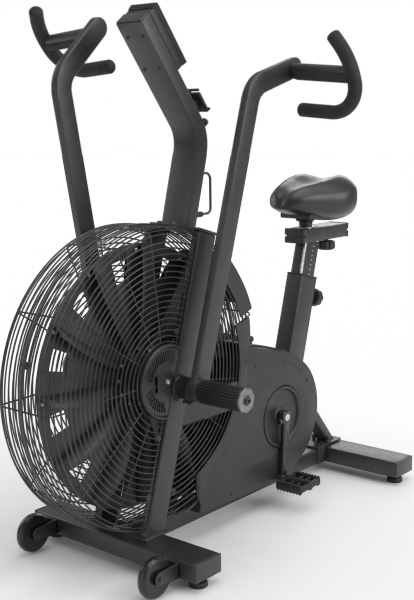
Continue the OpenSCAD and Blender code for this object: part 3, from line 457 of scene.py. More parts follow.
def crown_and_post():
    s = Shape()
    crown = leg_matrix()
    s.box(-8, 60, -46, 46, CROWN, CROWN + 6, 1.5, crown)
    s.box(LEG_FRONT - 4, LEG_REAR + 4, -LEG_OUT, LEG_OUT, CROWN, CROWN + 6, 1.5, crown)
    outline = [(-x, z) for x, z in strip(199, 90, POST_BEND, 298, 38)]
    s.prism([outline], -42, 42, 4.5, move(155, 0, 805) @ lean(15) @ move(0, 0, -12) @ SIDE)
    cap = post_place(298)
    s.box(-36, -2, -40, 40, 0, 3, 1.4, cap)
    s.lathe([(5.2, -14), (9, -14), (9, -1), (8, 0), (5.2, 0)], knob_place(), 28)
    s.build("console_post_tube", coat_paint, "frame", ["console_post"])
    screws = Shape()
    for y in (-26, 26):
        bolt_head(screws, crown @ move(6, y, CROWN + 6), 6, 5)
    for z in (170, 260):
        for y in (-24, 24):
            socket_head(screws, post_place(z) @ move(-38, y, 0) @ lean(-90), 4, 2.4)
    screws.build("post_screws", dark_steel, "frame", ["frame_bolts"])


def link_cover_outline():
    """Wedge behind a leg: its lower edge climbs rearward to the casing."""
    return rounded([(40, 326), (60, 327), (236, 323), (262, 340), (276, 396), (40, 396)], 8)


def seat_matrix(z):
    """Local Z runs up the leaning seat tube; the origin is on its centreline at height z."""
    return move(SEAT_FOOT_X + (z - 75) * tan(radians(SEAT_LEAN)), 0, z) @ lean(SEAT_LEAN)


def seat_frame():
    s = Shape()
    s.box(-39.5, 39.5, -27, 27, -20, (611 - 75) / cos(radians(SEAT_LEAN)), 5, seat_matrix(75), 4)
    brace = [(606, 367), (848, 81.4), (848, 79), (813, 79), (602, 325)]
    s.prism([brace], -20, 20, 4)
    s.build("seat_tube_column", coat_paint, "frame", ["seat_tube"])
    sleeve = Shape().box(-37, 37, -24.5, 24.5, -50, 2.5, 2, seat_matrix(611))
    sleeve.box(-39.3, 39.3, -26.8, 26.8, -0.5, 3, 1.2, seat_matrix(611))
    sleeve.build("seat_tube_sleeve", cover_plastic, "frame", ["seat_sleeve"])


def seat_parts():
    s = Shape()
    s.box(-35, 35, -18, 18, -250, 2, 4, seat_matrix(712), 4)
    s.prism([round_rect(668, 893, -32, 32, 4)], 712, 751, 2.5, FLAT)
    s.build("seat_post_rail", coat_paint, "seat_column", ["seat_post"])
    caps = Shape()
    for x0, x1 in ((658, 667), (888, 897)):
        for z0, z1 in ((711, 728.5), (734.5, 752)):
            caps.box(x0, x1, -33, 33, z0, z1, 2)
        caps.box(x0 + 2, x1 - 2, -28, 28, 727, 736, 1)
    caps.build("rail_end_caps", cover_plastic, "seat_column")
    strip_piece = Shape().box(-35.4, -28, -18.5, -14, -130, -2, 1, seat_matrix(712))
    strip_piece.build("post_bare_strip", bare_strip, "seat_column")
    marks = Shape()
    for i in range(9):
        marks.turned([(2.4, -0.3), (2.4, 0.25)],
                     seat_matrix(712) @ move(8, -18, -14 - i * 14) @ SIDE, 20)
    marks.build("height_marks", mark_paint, "seat_column")
    slider = Shape()
    slider.turned([(14, 745), (14, 782)], move(717, 0, 0), 40)
    slider.turned([(24, 749), (24, 754), (22, 756)], move(717, 0, 0), 40)
    slider.box(693, 850, -26, 26, 717, 746, 2)
    slider.build("saddle_stub", chrome, "saddle_carriage", ["carriage"])


def lobed_knob(shape, m, r, h, lobes=7, depth=2.6):
    """A hand knob whose rim waves in and out."""
    count = lobes * 12
    waves = [(2 * pi * i / count, depth * (0.5 - 0.5 * cos(2 * pi * i / 12)) ** 2) for i in range(count)]
    profile = [(0.1, 0), (r * 0.7, 0), (r * 0.96, h * 0.1), (r, h * 0.3), (r, h * 0.72),
               (r * 0.93, h * 0.93), (r * 0.75, h), (r * 0.3, h), (0.1, h * 0.97)]
    rows = []
    for radius, height in profile:
        edge = [(a, max(0, radius - wave * (radius / r) ** 4)) for a, wave in waves]
        rows.append([(e * cos(a), e * sin(a), height) for a, e in edge])
    shape.rings(rows, m)


def seat_knobs():
    height = seat_matrix(560) @ lean(90)
    s = Shape()
    s.turned([(9, 38), (9, 41), (12, 43), (12, 54), (8, 58), (7.5, 72)], height, 32)
    lobed_knob(s, height @ move(0, 0, 69), 26, 26, 8)
    s.build("height_pull_knob", nylon, "height_pin", ["height_knob"])
    t = Shape()
    t.turned([(6, 702), (6, 713)], move(826, 0, 0), 24)
    lobed_knob(t, move(826, 0, 676), 26, 26, 7, 4)
    t.build("fore_aft_hand_knob", nylon, "fore_aft_clamp", ["fore_aft_knob"])


# ---------------------------------------------------------------- saddle

SADDLE_WIDTH = [(590, 20), (597, 36), (610, 52), (640, 70), (670, 86), (700, 103), (725, 117), (750, 124),
                (775, 126), (800, 122), (825, 108), (845, 84), (858, 52), (865, 22)]
SADDLE_TOP = [(590, 822), (600, 842), (615, 851), (635, 856), (662, 858), (700, 860), (738, 863), (775, 874),
              (805, 884), (825, 883), (842, 874), (856, 860), (865, 840)]
SADDLE_HUMP = [(590, 4), (620, 13), (650, 22), (700, 30), (740, 34), (775, 31), (805, 21),
               (830, 11), (865, 2)]
SADDLE_BOTTOM = [(590, 814), (600, 808), (640, 796), (700, 782), (760, 770), (810, 771),
                 (845, 783), (865, 808)]


def saddle_surface(x, phi):
    """Point of the padded cover at length x and angle phi round the section, starting at the near edge."""
    w = table_value(SADDLE_WIDTH, x)
    top, low = table_value(SADDLE_TOP, x), table_value(SADDLE_BOTTOM, x)
    c, s = cos(phi), sin(phi)
    y = w * copysign(abs(c) ** 0.55, c)
    waist = low + (top - low) * 0.58
    if s >= 0:
        z = waist + (top - waist) * s ** 0.52
        hump = table_value(SADDLE_HUMP, x)
        z += hump * exp(-((abs(y) - w * 0.56) / (w * 0.36)) ** 2) * s ** 0.5
        z -= 2.5 * exp(-(y / 7) ** 2) * min(1, hump / 4)
    else:
        z = waist - (waist - low) * abs(s) ** 0.75
        y *= 1 - (0.16 + 0.3 * smooth_step((720 - x) / 120)) * s * s
    return x, y, z


def saddle():
    n, m = 44, 56
    xs = [590 + 275 * (0.5 - 0.5 * cos(pi * i / (n - 1))) for i in range(n)]
    verts = [saddle_surface(x, 2 * pi * k / m) for x in xs for k in range(m)]
    faces = []
    for i in range(n - 1):
        for k in range(m):
            l = (k + 1) % m
            faces.append([i * m + k, i * m + l, (i + 1) * m + l, (i + 1) * m + k])
    for i, sign in ((0, -1), (n - 1, 1)):
        centre = [sum(verts[i * m + k][a] for k in range(m)) / m for a in range(3)]
        centre[0] += sign * 3
        verts.append(tuple(centre))
        hub = len(verts) - 1
        faces += [[i * m + k, i * m + (k + 1) % m, hub] for k in range(m)]
    s = Shape().add(verts, faces)
    pad = s.build("saddle_cover", leatherette, "saddle_carriage", ["saddle_pad"], 180)
    soften = pad.modifiers.new("even_out", "SMOOTH")
    soften.factor = 0.5
    soften.iterations = 6
    pad.modifiers.new("refine", "SUBSURF").render_levels = 2
    seam = Shape()
    path = [saddle_surface(x, pi / 2) for x in [592 + i * 6.8 for i in range(40)]]
    seam.tube([(x, y, z - 1.2) for x, y, z in path], 1.5, 8)
    seam.build("saddle_seam", leatherette, "saddle_carriage")
    under = Shape()
    outline = [(x, -table_value(SADDLE_WIDTH, x) * 0.62) for x in range(664, 850, 8)]
    outline += [(x, -y) for x, y in reversed(outline)]
    under.prism([outline], 782, 796, 3, FLAT)
    under.turned([(19, 754), (19, 768), (24, 773), (30, 780)], move(717, 0, 0), 40)
    for x in (680, 790):
        bolt_head(under, move(x, 0, 779) @ OVER, 6, 4)
    under.build("saddle_shell", cover_plastic, "saddle_carriage", ["saddle_base"])


# ---------------------------------------------------------------- cage and covers

def ring_path(r, y, a0, a1):
    count = max(6, int(abs(a1 - a0) / 360 * 120))
    return [(x, y, FAN_Z + z) for x, z in arc(0, 0, r, a0, a1, count)]


def wire(shape, path, m, closed=False):
    shape.tube(path, WIRE_R, WIRE_SIDES, closed, m)


def leg_ring(shape, r, y, m):
    """A face ring stops at the two edges of the leg."""
    up = 90 - LEG_LEAN
    front = degrees(asin((LEG_FRONT - 4) / r))
    wire(shape, ring_path(r, y, up - front, up + 180 + front), m)
    if r > LEG_REAR + 4:
        rear = degrees(asin((LEG_REAR + 4) / r))
        wire(shape, ring_path(r, y, up + 180 + rear, up + 360 - rear), m)


def cage_spoke(angle):
    """Path of one wire: out along the face, round the shoulder and back across the rim."""
    path = [(x, -83.6) for x in (97, 160, 225, 290, 340)]
    path += [(348 + 19 * cos(a), -64.6 + 19 * sin(a))
             for a in [radians(-90 + 90 * i / 8) for i in range(9)]]
    path += [(367, y) for y in (-50, -30, -12, 0)]
    c, s = cos(radians(angle)), sin(radians(angle))
    return [(r * c, y, FAN_Z + r * s) for r, y in path]


SPOKES = (18, 48, 96, 114, 147, 181, 217, 240, 292, 322, 350)


def eyelet(shape, m):
    """A wire eye with a washer and screw, holding the cage to a leg."""
    eye = [(x, y, 0) for x, y in arc(0, 0, 7, 0, 340, 20)]
    wire(shape, eye, m, True)
    socket_head(shape, m @ move(0, 0, -1), 5, 3)


def cage():
    for _, side, m in SIDES:
        s = Shape()
        for i in range(18):
            leg_ring(s, 97 + 14 * i, -86.5, m)
        for r, y in ((354.8, -85.4), (363.6, -80), (368.8, -72)):
            wire(s, ring_path(r, y, 46, 330), m)
        for y in (11, 21, 31, 45, 58):
            wire(s, ring_path(370, -y, 0, 360)[:-1], m, True)
        for angle in SPOKES:
            wire(s, cage_spoke(angle), m)
        for d in (LEG_FRONT - 6, LEG_REAR + 6):
            start = sqrt(97 ** 2 - min(d, 96) ** 2)
            for z0, z1 in ((start, 343), (-343, -start)):
                beside = [(d, -83.6, z) for z in (z0, (z0 + z1) / 2, z1)]
                wire(s, beside, m @ leg_matrix())
        for d, z in ((15, 265), (12, 123), (13, -137), (14, -282), (102, -266)):
            eyelet(s, m @ leg_matrix() @ move(d, -86, z) @ SIDE)
        s.build("cage_" + side + "_wires", wire_paint, "frame", ["cage_" + side])
    band = Shape()
    loops = [circle(0, 0, 374, 120), list(reversed(circle(0, 0, 371, 120)))]
    band.prism(loops, -4, 4, 0.6, move(0, 0, FAN_Z) @ SIDE)
    clip = move(0, 0, FAN_Z) @ lean(-165) @ move(360, 0, 0)
    for y in (-8, 4):
        band.box(-2, 9, y, y + 4, -8, 8, 1, clip)
    bolt_head(band, clip @ move(3, -8, 0) @ SIDE, 3.2, 3)
    band.build("cage_rim_band", wire_paint, "frame", ["cage_band"])


def curved_slot(r0, r1, angle, sweep, width):
    """A radial vent slot that leans over by sweep degrees between r0 and r1."""
    centre = [(r0 + (r1 - r0) * t, angle + sweep * t ** 1.3) for t in [i / 6 for i in range(7)]]
    near, far = [], []
    for r, a in centre:
        a = radians(a)
        half = width / 2 * (1 + 0.25 * (r - r0) / (r1 - r0))
        for side, out in ((-1, near), (1, far)):
            out.append((r * cos(a) - side * half * sin(a), r * sin(a) + side * half * cos(a)))
    return rounded(near + far[::-1], width * 0.45, 3)


def hub_and_leg_covers():
    for _, side, m in SIDES:
        s = Shape()
        place = m @ move(0, 0, FAN_Z)
        up = 90 - LEG_LEAN
        edge = degrees(asin(LEG_FRONT / 92.5))
        disc = arc(0, 0, 88, up - edge, up + 180 + edge, 60)
        holes = [curved_slot(50, 75, up + 10 + i * 7, -9, 4.2) for i in range(13)]
        holes += [curved_slot(50, 75, up + 182 - i * 7.4, 9, 4.4) for i in range(10)]
        openings = [oval(-37, 0, 10, 42), oval(4, 0, 15, 15)]
        s.prism([disc] + [h[::-1] for h in holes + openings], 88.4, 91.6, 0.7, place @ SIDE)
        rim = circle(0, 0, 4.6, 14)
        rows = []
        for x, _, z in ring_path(88, 0, up - edge, up + 180 + edge):
            a = atan2(z - FAN_Z, x)
            rows.append([((88 + r) * cos(a), -92.2 + y * 1.15, FAN_Z + (88 + r) * sin(a)) for r, y in rim])
        s.rings(rows, m)
        inner = arc(0, 0, 46, up - 25, up + 205, 40)
        s.prism([inner] + [h[::-1] for h in openings], 91, 93, 0.6, place @ SIDE)
        skirt = arc(0, 0, 92, up - edge, up + 180 + edge, 60)
        skirt += arc(0, 0, 89.5, up + 180 + edge, up - edge, 60)
        s.prism([skirt], 84.8, 91, 0.5, place @ SIDE)
        shell = link_cover_outline()
        s.prism([shell], 88, 92.4, 1.5, m @ SIDE)
        inset = rounded([(44, 330), (60, 331), (234, 327), (256, 342), (270, 392), (44, 392)], 6)
        s.prism([shell, inset[::-1]], 68, 89, 0.6, m @ SIDE)
        s.build("leg_cover_" + side, cover_plastic, "frame", ["leg_covers"])
        nut = Shape()
        at_nut = place @ move(4, -91.5, 0) @ SIDE
        nut.lathe([(0.1, -6), (7.5, -6), (7.5, 4.5), (6.5, 5.6), (4.2, 5.6), (4.2, 8.5), (0.1, 9)], at_nut, 6)
        nut.turned([(9.8, -7), (9.8, 0.9), (9, 1.4)], at_nut, 32)
        nut.tube([(-37, -84, -6), (-37, -86, -6), (-37, -89, -6)], [5, 5, 4], 16, False, place)
        nut.build("axle_nut_" + side, chrome)
        inside = Shape()
        inside.prism([arc(0, 0, 80, up + 8, up + 172, 40)], 81, 84.5, 0.8, place @ SIDE)
        inside.build("axle_bracket_" + side, coat_paint, "frame", ["axle_brackets"])


# ---------------------------------------------------------------- fan

def fan():
    plates = Shape()
    fins = Shape()
    hardware = Shape()
    count = 12
    for i in range(count):
        place = move(0, 0, FAN_Z) @ lean(-(i * 360 / count - 4))
        outline = arc(0, 0, 328, -9.5, 10.5, 8) + arc(0, 0, 52, 10.5, -9.5, 4)
        plates.prism([rounded(outline, 8)], -0.9, 0.9, 0.5, place @ SIDE)
        for inner, outer in ((52, 244), (298, 328)):
            bridge = arc(0, 0, outer, 10, 21, 8) + arc(0, 0, inner, 21, 10, 8)
            plates.prism([bridge], -0.9, 0.9, 0.5, place @ SIDE)
        blade(fins, place)
        for r in (312, 70):
            bolt_head(hardware, place @ lean(-4) @ move(r, -1, 0) @ SIDE, 4, 3)
    plates.turned([(40, -38), (43, -35), (45, -8), (58, -4), (58, 4), (45, 8), (43, 35), (40, 38)],
                  move(0, 0, FAN_Z) @ SIDE, 64)
    plates.build("fan_plates", fan_paint, "fan", ["fan_wheel"])
    # The fins carry the darker coat that paints in the shade inside the fan.
    fins.build("fan_fins", painted_shade_fin_paint, "fan")
    hardware.build("fan_bolts", zinc, "fan")


def blade(shape, place):
    """A curved fin: it leaves the plate near one edge and curls over towards the rider's left and forward."""
    steps, across, thick = 22, 8, 1.1
    angles = [radians(90 * k / across) for k in range(across + 1)]
    for sign in (-1, 1):
        rows = []
        for i in range(steps + 1):
            t = i / steps
            r = 56 + 268 * t
            depth = 4 + 36 * sin(pi * (0.12 + 0.88 * (1 - t)) ** 0.8) ** 0.9 if t < 1 else 3
            reach = depth if sign < 0 else min(depth * 0.8, 30)
            inside = [(r, sign * reach * sin(a), 6 + reach * 0.75 * (1 - cos(a))) for a in angles]
            rows.append(inside + [(x, y, z + thick) for x, y, z in inside[::-1]])
        shape.rings(rows, place)


# ---------------------------------------------------------------- casing

def casing_outline(t=0):
    front = arc(0, FAN_Z, 285 + t, 19, -68, 48)
    foot = [(107 + t, 131), (121 + t, 104), (117 + t, 81 + t), (430, 69 + t)]
    rear = arc(481, CRANK_Z, 167 - t, -88, 52, 40)
    top = [(531, 421 - t), (423, 453 - t), (369, 465 - t), (337, 474 - t)]
    crescent = [((326 + a - t) * cos(radians(a)), FAN_Z + (326 + a - t) * sin(radians(a)))
                for a in range(5, 19)]
    return front + foot + rear + top + crescent


def casing():
    hole = circle(CRANK_X, CRANK_Z, 88.5, 72)[::-1]
    for _, side, m in SIDES:
        s = Shape()
        s.prism([rounded(casing_outline(), 3), hole], 86, 91.2, 2.2, m @ SIDE)
        lip = circle(CRANK_X, CRANK_Z, 91, 72)
        s.prism([lip, hole], 74, 91.6, 0.5, m @ SIDE)
        skirt = casing_outline()[49:-14]
        inner = casing_outline(3)[49:-14]
        s.prism([skirt + inner[::-1]], 31, 88, 0.4, m @ SIDE)
        s.prism([skirt[4:] + inner[:3:-1]], 0.2, 31.5, 0.4, m @ SIDE)
        rim = casing_outline()[:50]
        s.tube([(x, -91, z) for x, z in rim], 1.7, 8, False, m)
        step = arc(0, FAN_Z, 318, -4, -62, 30)
        band = arc(0, FAN_Z, 287, 0, -67, 30) + [(112, 124), (128, 130), (140, 152)] + step[::-1]
        s.prism([rounded(band, 3)], 90, 92.4, 1.1, m @ SIDE)
        groove = [(306, 449), (369, 440), (423, 428), (531, 396), (588, 350), (586, 346), (530, 391.5),
                  (422, 423.5), (368, 435.5), (306, 444)]
        s.prism([groove], 90, 92.2, 0.9, m @ SIDE)
        s.build("casing_" + side + "_shell", casing_plastic, "frame", ["casing_" + side])
        screws = Shape()
        for x, z in ((353, 419), (315, 391), (486, 400), (129, 95), (556, 130), (596, 330), (250, 92)):
            socket_head(screws, m @ move(x, -91.4, z) @ SIDE, 4.2, 1.2)
        screws.build("casing_screws_" + side, dark_steel)
    lid = Shape()
    line = [(332, 475), (369, 465.5), (423, 453.5), (531, 421.5), (580, 384)]
    upper = [(x + 1.5, z + 5) for x, z in line]
    lid.prism([rounded(line + upper[::-1], 2)], -60, 60, 1.6)
    lid.build("casing_lid", casing_plastic, "frame", ["casing_top"])
    small = Shape()
    small.turned([(7, 0), (7, 4), (5, 6), (5, 10)], move(398, -36, 464), 24)
    lobed_knob(small, move(398, -36, 472), 11, 13, 6, 1.2)
    small.build("lid_screw_knob", nylon)
    near = [(312, 91.2), (357, 91.2), (361, 90.6), (364, 88), (377, 73), (378.4, 70), (378.6, 66)]
    far = [(375.8, 66), (375.6, 69.8), (362, 85.4), (359, 88.2), (356, 88.5), (312, 88.5)]
    section = [(r, -y) for r, y in near] + [(r, y) for r, y in near[::-1]]
    section += [(r, y) for r, y in far[::-1]] + [(r, -y) for r, y in far]
    angles = [radians(21 + 27 * i / 34) for i in range(35)]
    guard = Shape().rings([[(r * cos(a), y, FAN_Z + r * sin(a)) for r, y in section] for a in angles])
    guard.build("rear_rim_guard", casing_plastic, "frame", ["rear_fender"])


# ---------------------------------------------------------------- crank and pedals

def crank_arm(up, m):
    """One crank, hanging down or standing up, with its split clamp head."""
    s = Shape()
    place = m @ move(CRANK_X, 0, CRANK_Z) @ lean(CRANK_LEAN)
    head = round_rect(-17, 17, -17, 17, 6)
    bore = circle(0, 0, 10.3, 24)[::-1]
    s.prism([head, bore], 87, 107, 2, place @ SIDE)
    s.turned([(10.1, 84), (10.1, 105.5), (8.8, 106.6)], place @ SIDE, 32)
    arm = [(-13, up * 12), (13, up * 12), (11.5, up * 60), (10.5, up * CRANK_L)]
    arm += [(x, up * z) for x, z in arc(0, CRANK_L, 13.5, 0, 180, 14)]
    arm += [(-10.5, up * CRANK_L), (-11.5, up * 60)]
    slot = oval(0, up * 92, 6.5, 104)
    s.prism([rounded(arm, 4)], 94, 107.5, 3, place @ SIDE)
    s.prism([rounded([(x * 0.72, z) for x, z in arm[:4]] + [(-8, up * CRANK_L), (-8.5, up * 60)], 3),
             slot[::-1]], 106.6, 108.6, 0.8, place @ SIDE)
    s.turned([(15, 93), (15, 107), (13, 109)], place @ move(0, 0, up * CRANK_L) @ SIDE, 32)
    bolt = place @ move(-17, -97, up * 11) @ lean(-90)
    s.turned([(7.2, -2), (7.2, 5), (6.2, 6.2), (3.5, 6.2), (3.5, 2)], bolt, 28)
    return s


def crank_end(m, up):
    a = radians(CRANK_LEAN)
    return m @ move(CRANK_X + up * CRANK_L * sin(a), 0, CRANK_Z + up * CRANK_L * cos(a))


def pedal(m, tilt, up):
    s = Shape()
    place = crank_end(m, up) @ lean(tilt)
    y0, y1 = 112, 194
    for x in (-1, 1):
        lo, hi = sorted((x * 47.5, x * 39))
        s.box(lo, hi, -y1, -y0, -11, 9, 1.8, place)
        for i in range(8):
            y = -y0 - 6 - i * 10.2
            for z in (-1, 1):
                base = 8.5 if z > 0 else -10.5
                tip = base + z * 4
                rows = [[(lo + cut, y - half, h), (hi - cut, y - half, h), (hi - cut, y + half, h),
                         (lo + cut, y + half, h)] for cut, half, h in ((0.5, 3, base), (1.5, 1, tip))]
                s.rings(rows, place)
    for y in (-y0 - 8, -y1):
        s.box(-44, 44, y, y + 8, -9, 8, 2, place)
    for y in (-y0 - 34, -y0 - 56):
        s.box(-44, 44, y - 3, y + 3, -7, 7, 1.6, place)
    s.turned([(13, y0 - 1), (13.5, y0 + 4), (12, y0 + 10), (12, y1 - 8), (13, y1), (9, y1 + 1.5)],
             place @ SIDE, 32)
    return s


def crank_set():
    for (_, side, m), up, tilt in zip(SIDES, (-1, 1), (-2, -12)):
        s = crank_arm(up, m)
        s.build("crank_arm_" + side, crank_paint, "crank_set", ["crank_" + side])
        spindle = Shape()
        place = crank_end(m, up)
        spindle.turned([(7, 100), (7, 113)], place @ SIDE, 24)
        spindle.build("pedal_spindle_" + side, zinc, "crank_set")
        pedal(m, tilt, up).build("pedal_" + side + "_platform", nylon, "pedal_" + side[0], ["pedal_" + side])
    discs = Shape()
    for _, _, m in SIDES:
        place = m @ move(CRANK_X, 0, CRANK_Z) @ SIDE
        discs.lathe([(11, 76), (86, 76), (86, 92.4), (84.5, 93.6), (79, 93.6), (76.5, 92), (74, 85.5),
                     (70, 84.4), (30, 83), (27, 82.6), (24, 85), (11, 85)], place, 96)
    discs.build("crank_cover_discs", cover_plastic, "crank_set", ["crank_discs"])


# ---------------------------------------------------------------- wheels and feet

def wheels():
    for _, side, m in SIDES:
        place = m @ move(WHEEL_X, 0, WHEEL_Z) @ SIDE @ move(0, 0, WHEEL_Y - 215)
        tyre = Shape()
        profile = [(33, 204.5), (40, 203.4)] + [(41.3 + 7.2 * cos(a), 215 + 11.4 * sin(a))
                                               for a in [radians(-80 + 160 * i / 14) for i in range(15)]]
        profile += [(40, 226.6), (33, 225.5)]
        tyre.lathe(profile, place, 72)
        tyre.build("wheel_tyre_" + side, tyre_rubber, "wheel_" + side[0], ["wheel_" + side])
        hub = Shape()
        rim = circle(0, 0, 34, 60)
        holes = [curved_slot(16, 29, k * 72, 26, 5.5)[::-1] for k in range(5)]
        hub.prism([rim] + holes + [circle(0, 0, 4.3, 20)[::-1]], 208.5, 221.5, 1, place)
        hub.lathe([(4.4, 203.6), (11, 203.6), (12, 206), (12, 224), (11, 226.4), (4.4, 226.4)], place, 40)
        hub.build("wheel_hub_" + side, cover_plastic, "wheel_" + side[0])
        axle = Shape()
        for y, flip in ((234, 0), (196, pi)):
            bolt_head(axle, place @ move(0, 0, y) @ Matrix.Rotation(flip, 4, "X"), 6.5, 4)
        axle.build("wheel_bolt_" + side, dark_steel)


def feet():
    for x, dy, end in ((-70, 243, "front"), (826, 249.5, "rear")):
        for _, side, m in SIDES:
            s = Shape()
            place = m @ move(x, -dy, 0)
            s.lathe([(0.1, 0), (19.5, 0), (21.5, 1.2), (22, 3), (21.8, 9), (20, 12.2), (14, 13.6), (0.1, 14)],
                    place, 56)
            s.turned([(9, 13.5), (9, 18.5), (8, 19.5)], place, 6)
            threads = [(5 + 0.45 * (k % 2), 19 + 0.75 * k) for k in range(13)]
            s.lathe([(0.1, 19)] + threads + [(0.1, 28)], place, 24)
            code = "foot_" + end[0] + side[0]
            s.build("foot_pad_" + end + "_" + side, rubber, code, ["foot_" + end + "_" + side])


# ---------------------------------------------------------------- arms

ARM_LEAN = {"left": 17, "right": -10.5}
ARM_IN, ARM_OUT = 139.5, 161.2
# The bar runs up, turns forward through ARM_BEND degrees at radius ARM_R, and runs on.
ARM_UP, ARM_R, ARM_BEND, ARM_ON = 713, 70, 57, 141


def pivot(side, m):
    return m @ move(PIVOT_X, 0, PIVOT_Z) @ lean(ARM_LEAN[side])


def arm_end():
    b = radians(ARM_BEND)
    return ARM_R * (1 - cos(b)) + ARM_ON * sin(b), ARM_UP + ARM_R * sin(b) + ARM_ON * cos(b)


def handle_frame():
    x, z = arm_end()
    return move(x, 0, z) @ lean(ARM_BEND - 90) @ Matrix.Rotation(radians(90), 4, "X") @ Matrix.Rotation(
        radians(-90), 4, "Y") @ move(0, 5, 19)


def handle_path(extra=0, step=4):
    """Centreline of the handle: lower horn, tight bend, long bend, upper horn."""
    x, y, heading = 165, -110, -5
    points = []
    for length, turn_by in ((95, 0), (72 * radians(100), 100), (8, 0), (190 * radians(28), 28), (26, 0)):
        count = max(2, int(length / step))
        for _ in range(count):
            points.append((x, y, 0))
            heading += turn_by / count / 2
            x += length / count * cos(radians(heading))
            y += length / count * sin(radians(heading))
            heading += turn_by / count / 2
    points.append((x, y, 0))
    first = Vector(points[0]) - (Vector(points[1]) - Vector(points[0])).normalized() * extra
    last = Vector(points[-1]) + (Vector(points[-1]) - Vector(points[-2])).normalized() * extra
    return [first] + points[1:-1] + [last]


def domed_tube(shape, path, r, m, segments=28, dome=10):
    """A foam sleeve: a tube whose two ends are rounded off."""
    points = [Vector(p) for p in path]
    start = (points[1] - points[0]).normalized()
    end = (points[-1] - points[-2]).normalized()
    head, tail = [], []
    for k in range(7):
        a = pi / 2 * k / 6
        head.append((points[0] - start * dome * cos(a) + start * dome, max(0.2, r * sin(a) ** 0.8)))
        tail.append((points[-1] - end * dome + end * dome * sin(a), max(0.2, r * cos(a) ** 0.8)))
    body = [(p, r) for p in points if (p - points[0]).dot(start) > dome * 1.1 or (p - points[0]).length > 60]
    body = [(p, w) for p, w in body if (points[-1] - p).dot(end) > dome * 1.1 or (points[-1] - p).length > 60]
    every = head + body + tail
    shape.tube([p for p, _ in every], [w for _, w in every], segments, False, m)


def arms():
    outline = strip(ARM_UP, ARM_R, ARM_BEND, ARM_ON, 51, True)
    for _, side, mirror in SIDES:
        m = pivot(side, mirror)
        s = Shape()
        s.prism([outline], ARM_IN, ARM_OUT, 4.5, m @ SIDE)
        s.turned([(28, 137.6), (29, 139), (29, 162), (28, 163)], m @ SIDE, 56)
        for angle in (0, ARM_BEND):
            b = radians(angle)
            seam = m @ move(ARM_R * (1 - cos(b)), 0, ARM_UP + ARM_R * sin(b)) @ lean(angle)
            middle = (ARM_IN + ARM_OUT) / 2
            ring = [(x, y - middle, 0) for x, y in round_rect(-25.6, 25.6, -10.95, 10.95, 4.6)]
            s.tube(ring, 0.5, 6, True, seam)
        core = m @ handle_frame()
        s.tube([(k, -1 - (k - 157) * tan(radians(5)), 0) for k in (150, 180, 250, 330)],
               12.4, 20, False, core)
        s.build("arm_" + side + "_tube", coat_paint, "swing_arm_" + side[0], ["arm_" + side])
        g = Shape()
        domed_tube(g, handle_path(4), 17.8, core)
        stub = [(k, -1 - k * tan(radians(5)), 0) for k in range(166, 334, 8)]
        g.tube(stub, [14 if i == 0 else 16.6 for i in range(len(stub))], 28, False, core)
        g.build("grip_" + side + "_foam", foam, "swing_arm_" + side[0], ["grip_" + side])
        peg(side, m)
        housing(side, mirror @ move(PIVOT_X, 0, PIVOT_Z))


def peg(side, m):
    """Ribbed foot peg on the arm's shaft, with its eight-sided cap and bolt."""
    ribs = 26
    outline = []
    for i in range(ribs):
        for off, r in ((0.0, 26.3), (0.16, 26.3), (0.26, 28.6), (0.5, 29.0), (0.74, 28.6), (0.84, 26.3)):
            a = 2 * pi * (i + off) / ribs
            outline.append((r * cos(a), r * sin(a)))
    s = Shape()
    s.prism([outline], 170, 286, 0.5, m @ SIDE)
    s.turned([(25, 163.5), (28.5, 166), (28.8, 170.5)], m @ SIDE, 56)
    s.turned([(28.6, 285.5), (28.8, 290), (27, 291.5)], m @ SIDE, 56)
    s.build("peg_" + side + "_rubber", rubber, "swing_arm_" + side[0], ["peg_" + side])
    cap = Shape()
    eight = arc(0, 0, 30.5, 22.5, 382.5, 8)[:-1]
    cap.prism([rounded(eight, 5)], 291, 297.5, 1.2, m @ SIDE)
    cap.build("peg_" + side + "_cap", brushed, "swing_arm_" + side[0])
    bolt = Shape()
    bolt.turned([(12.5, 296), (12.5, 298.6), (11.5, 299.4)], m @ SIDE, 40)
    socket_head(bolt, m @ SIDE @ move(0, 0, 299), 8.4, 5.5)
    bolt.build("peg_" + side + "_bolt", dark_steel, "swing_arm_" + side[0])


def housing(side, m):
    s = Shape()
    s.turned([(29, 91), (30, 92.6), (30, 95), (29, 97), (28, 98), (27.5, 100), (27.5, 131), (28.6, 132.5),
              (28.6, 136), (27.4, 137.3)], m @ SIDE, 56)
    for y in (109.5, 125.5):
        s.turned([(4, 0), (4, 5), (7, 6), (7.4, 8), (7.4, 10.5), (6.4, 12)],
                 m @ move(0, -y, -26) @ OVER, 24)
    s.build("pivot_housing_" + side, cover_plastic, "frame", ["pivot_housings"])


# ---------------------------------------------------------------- console

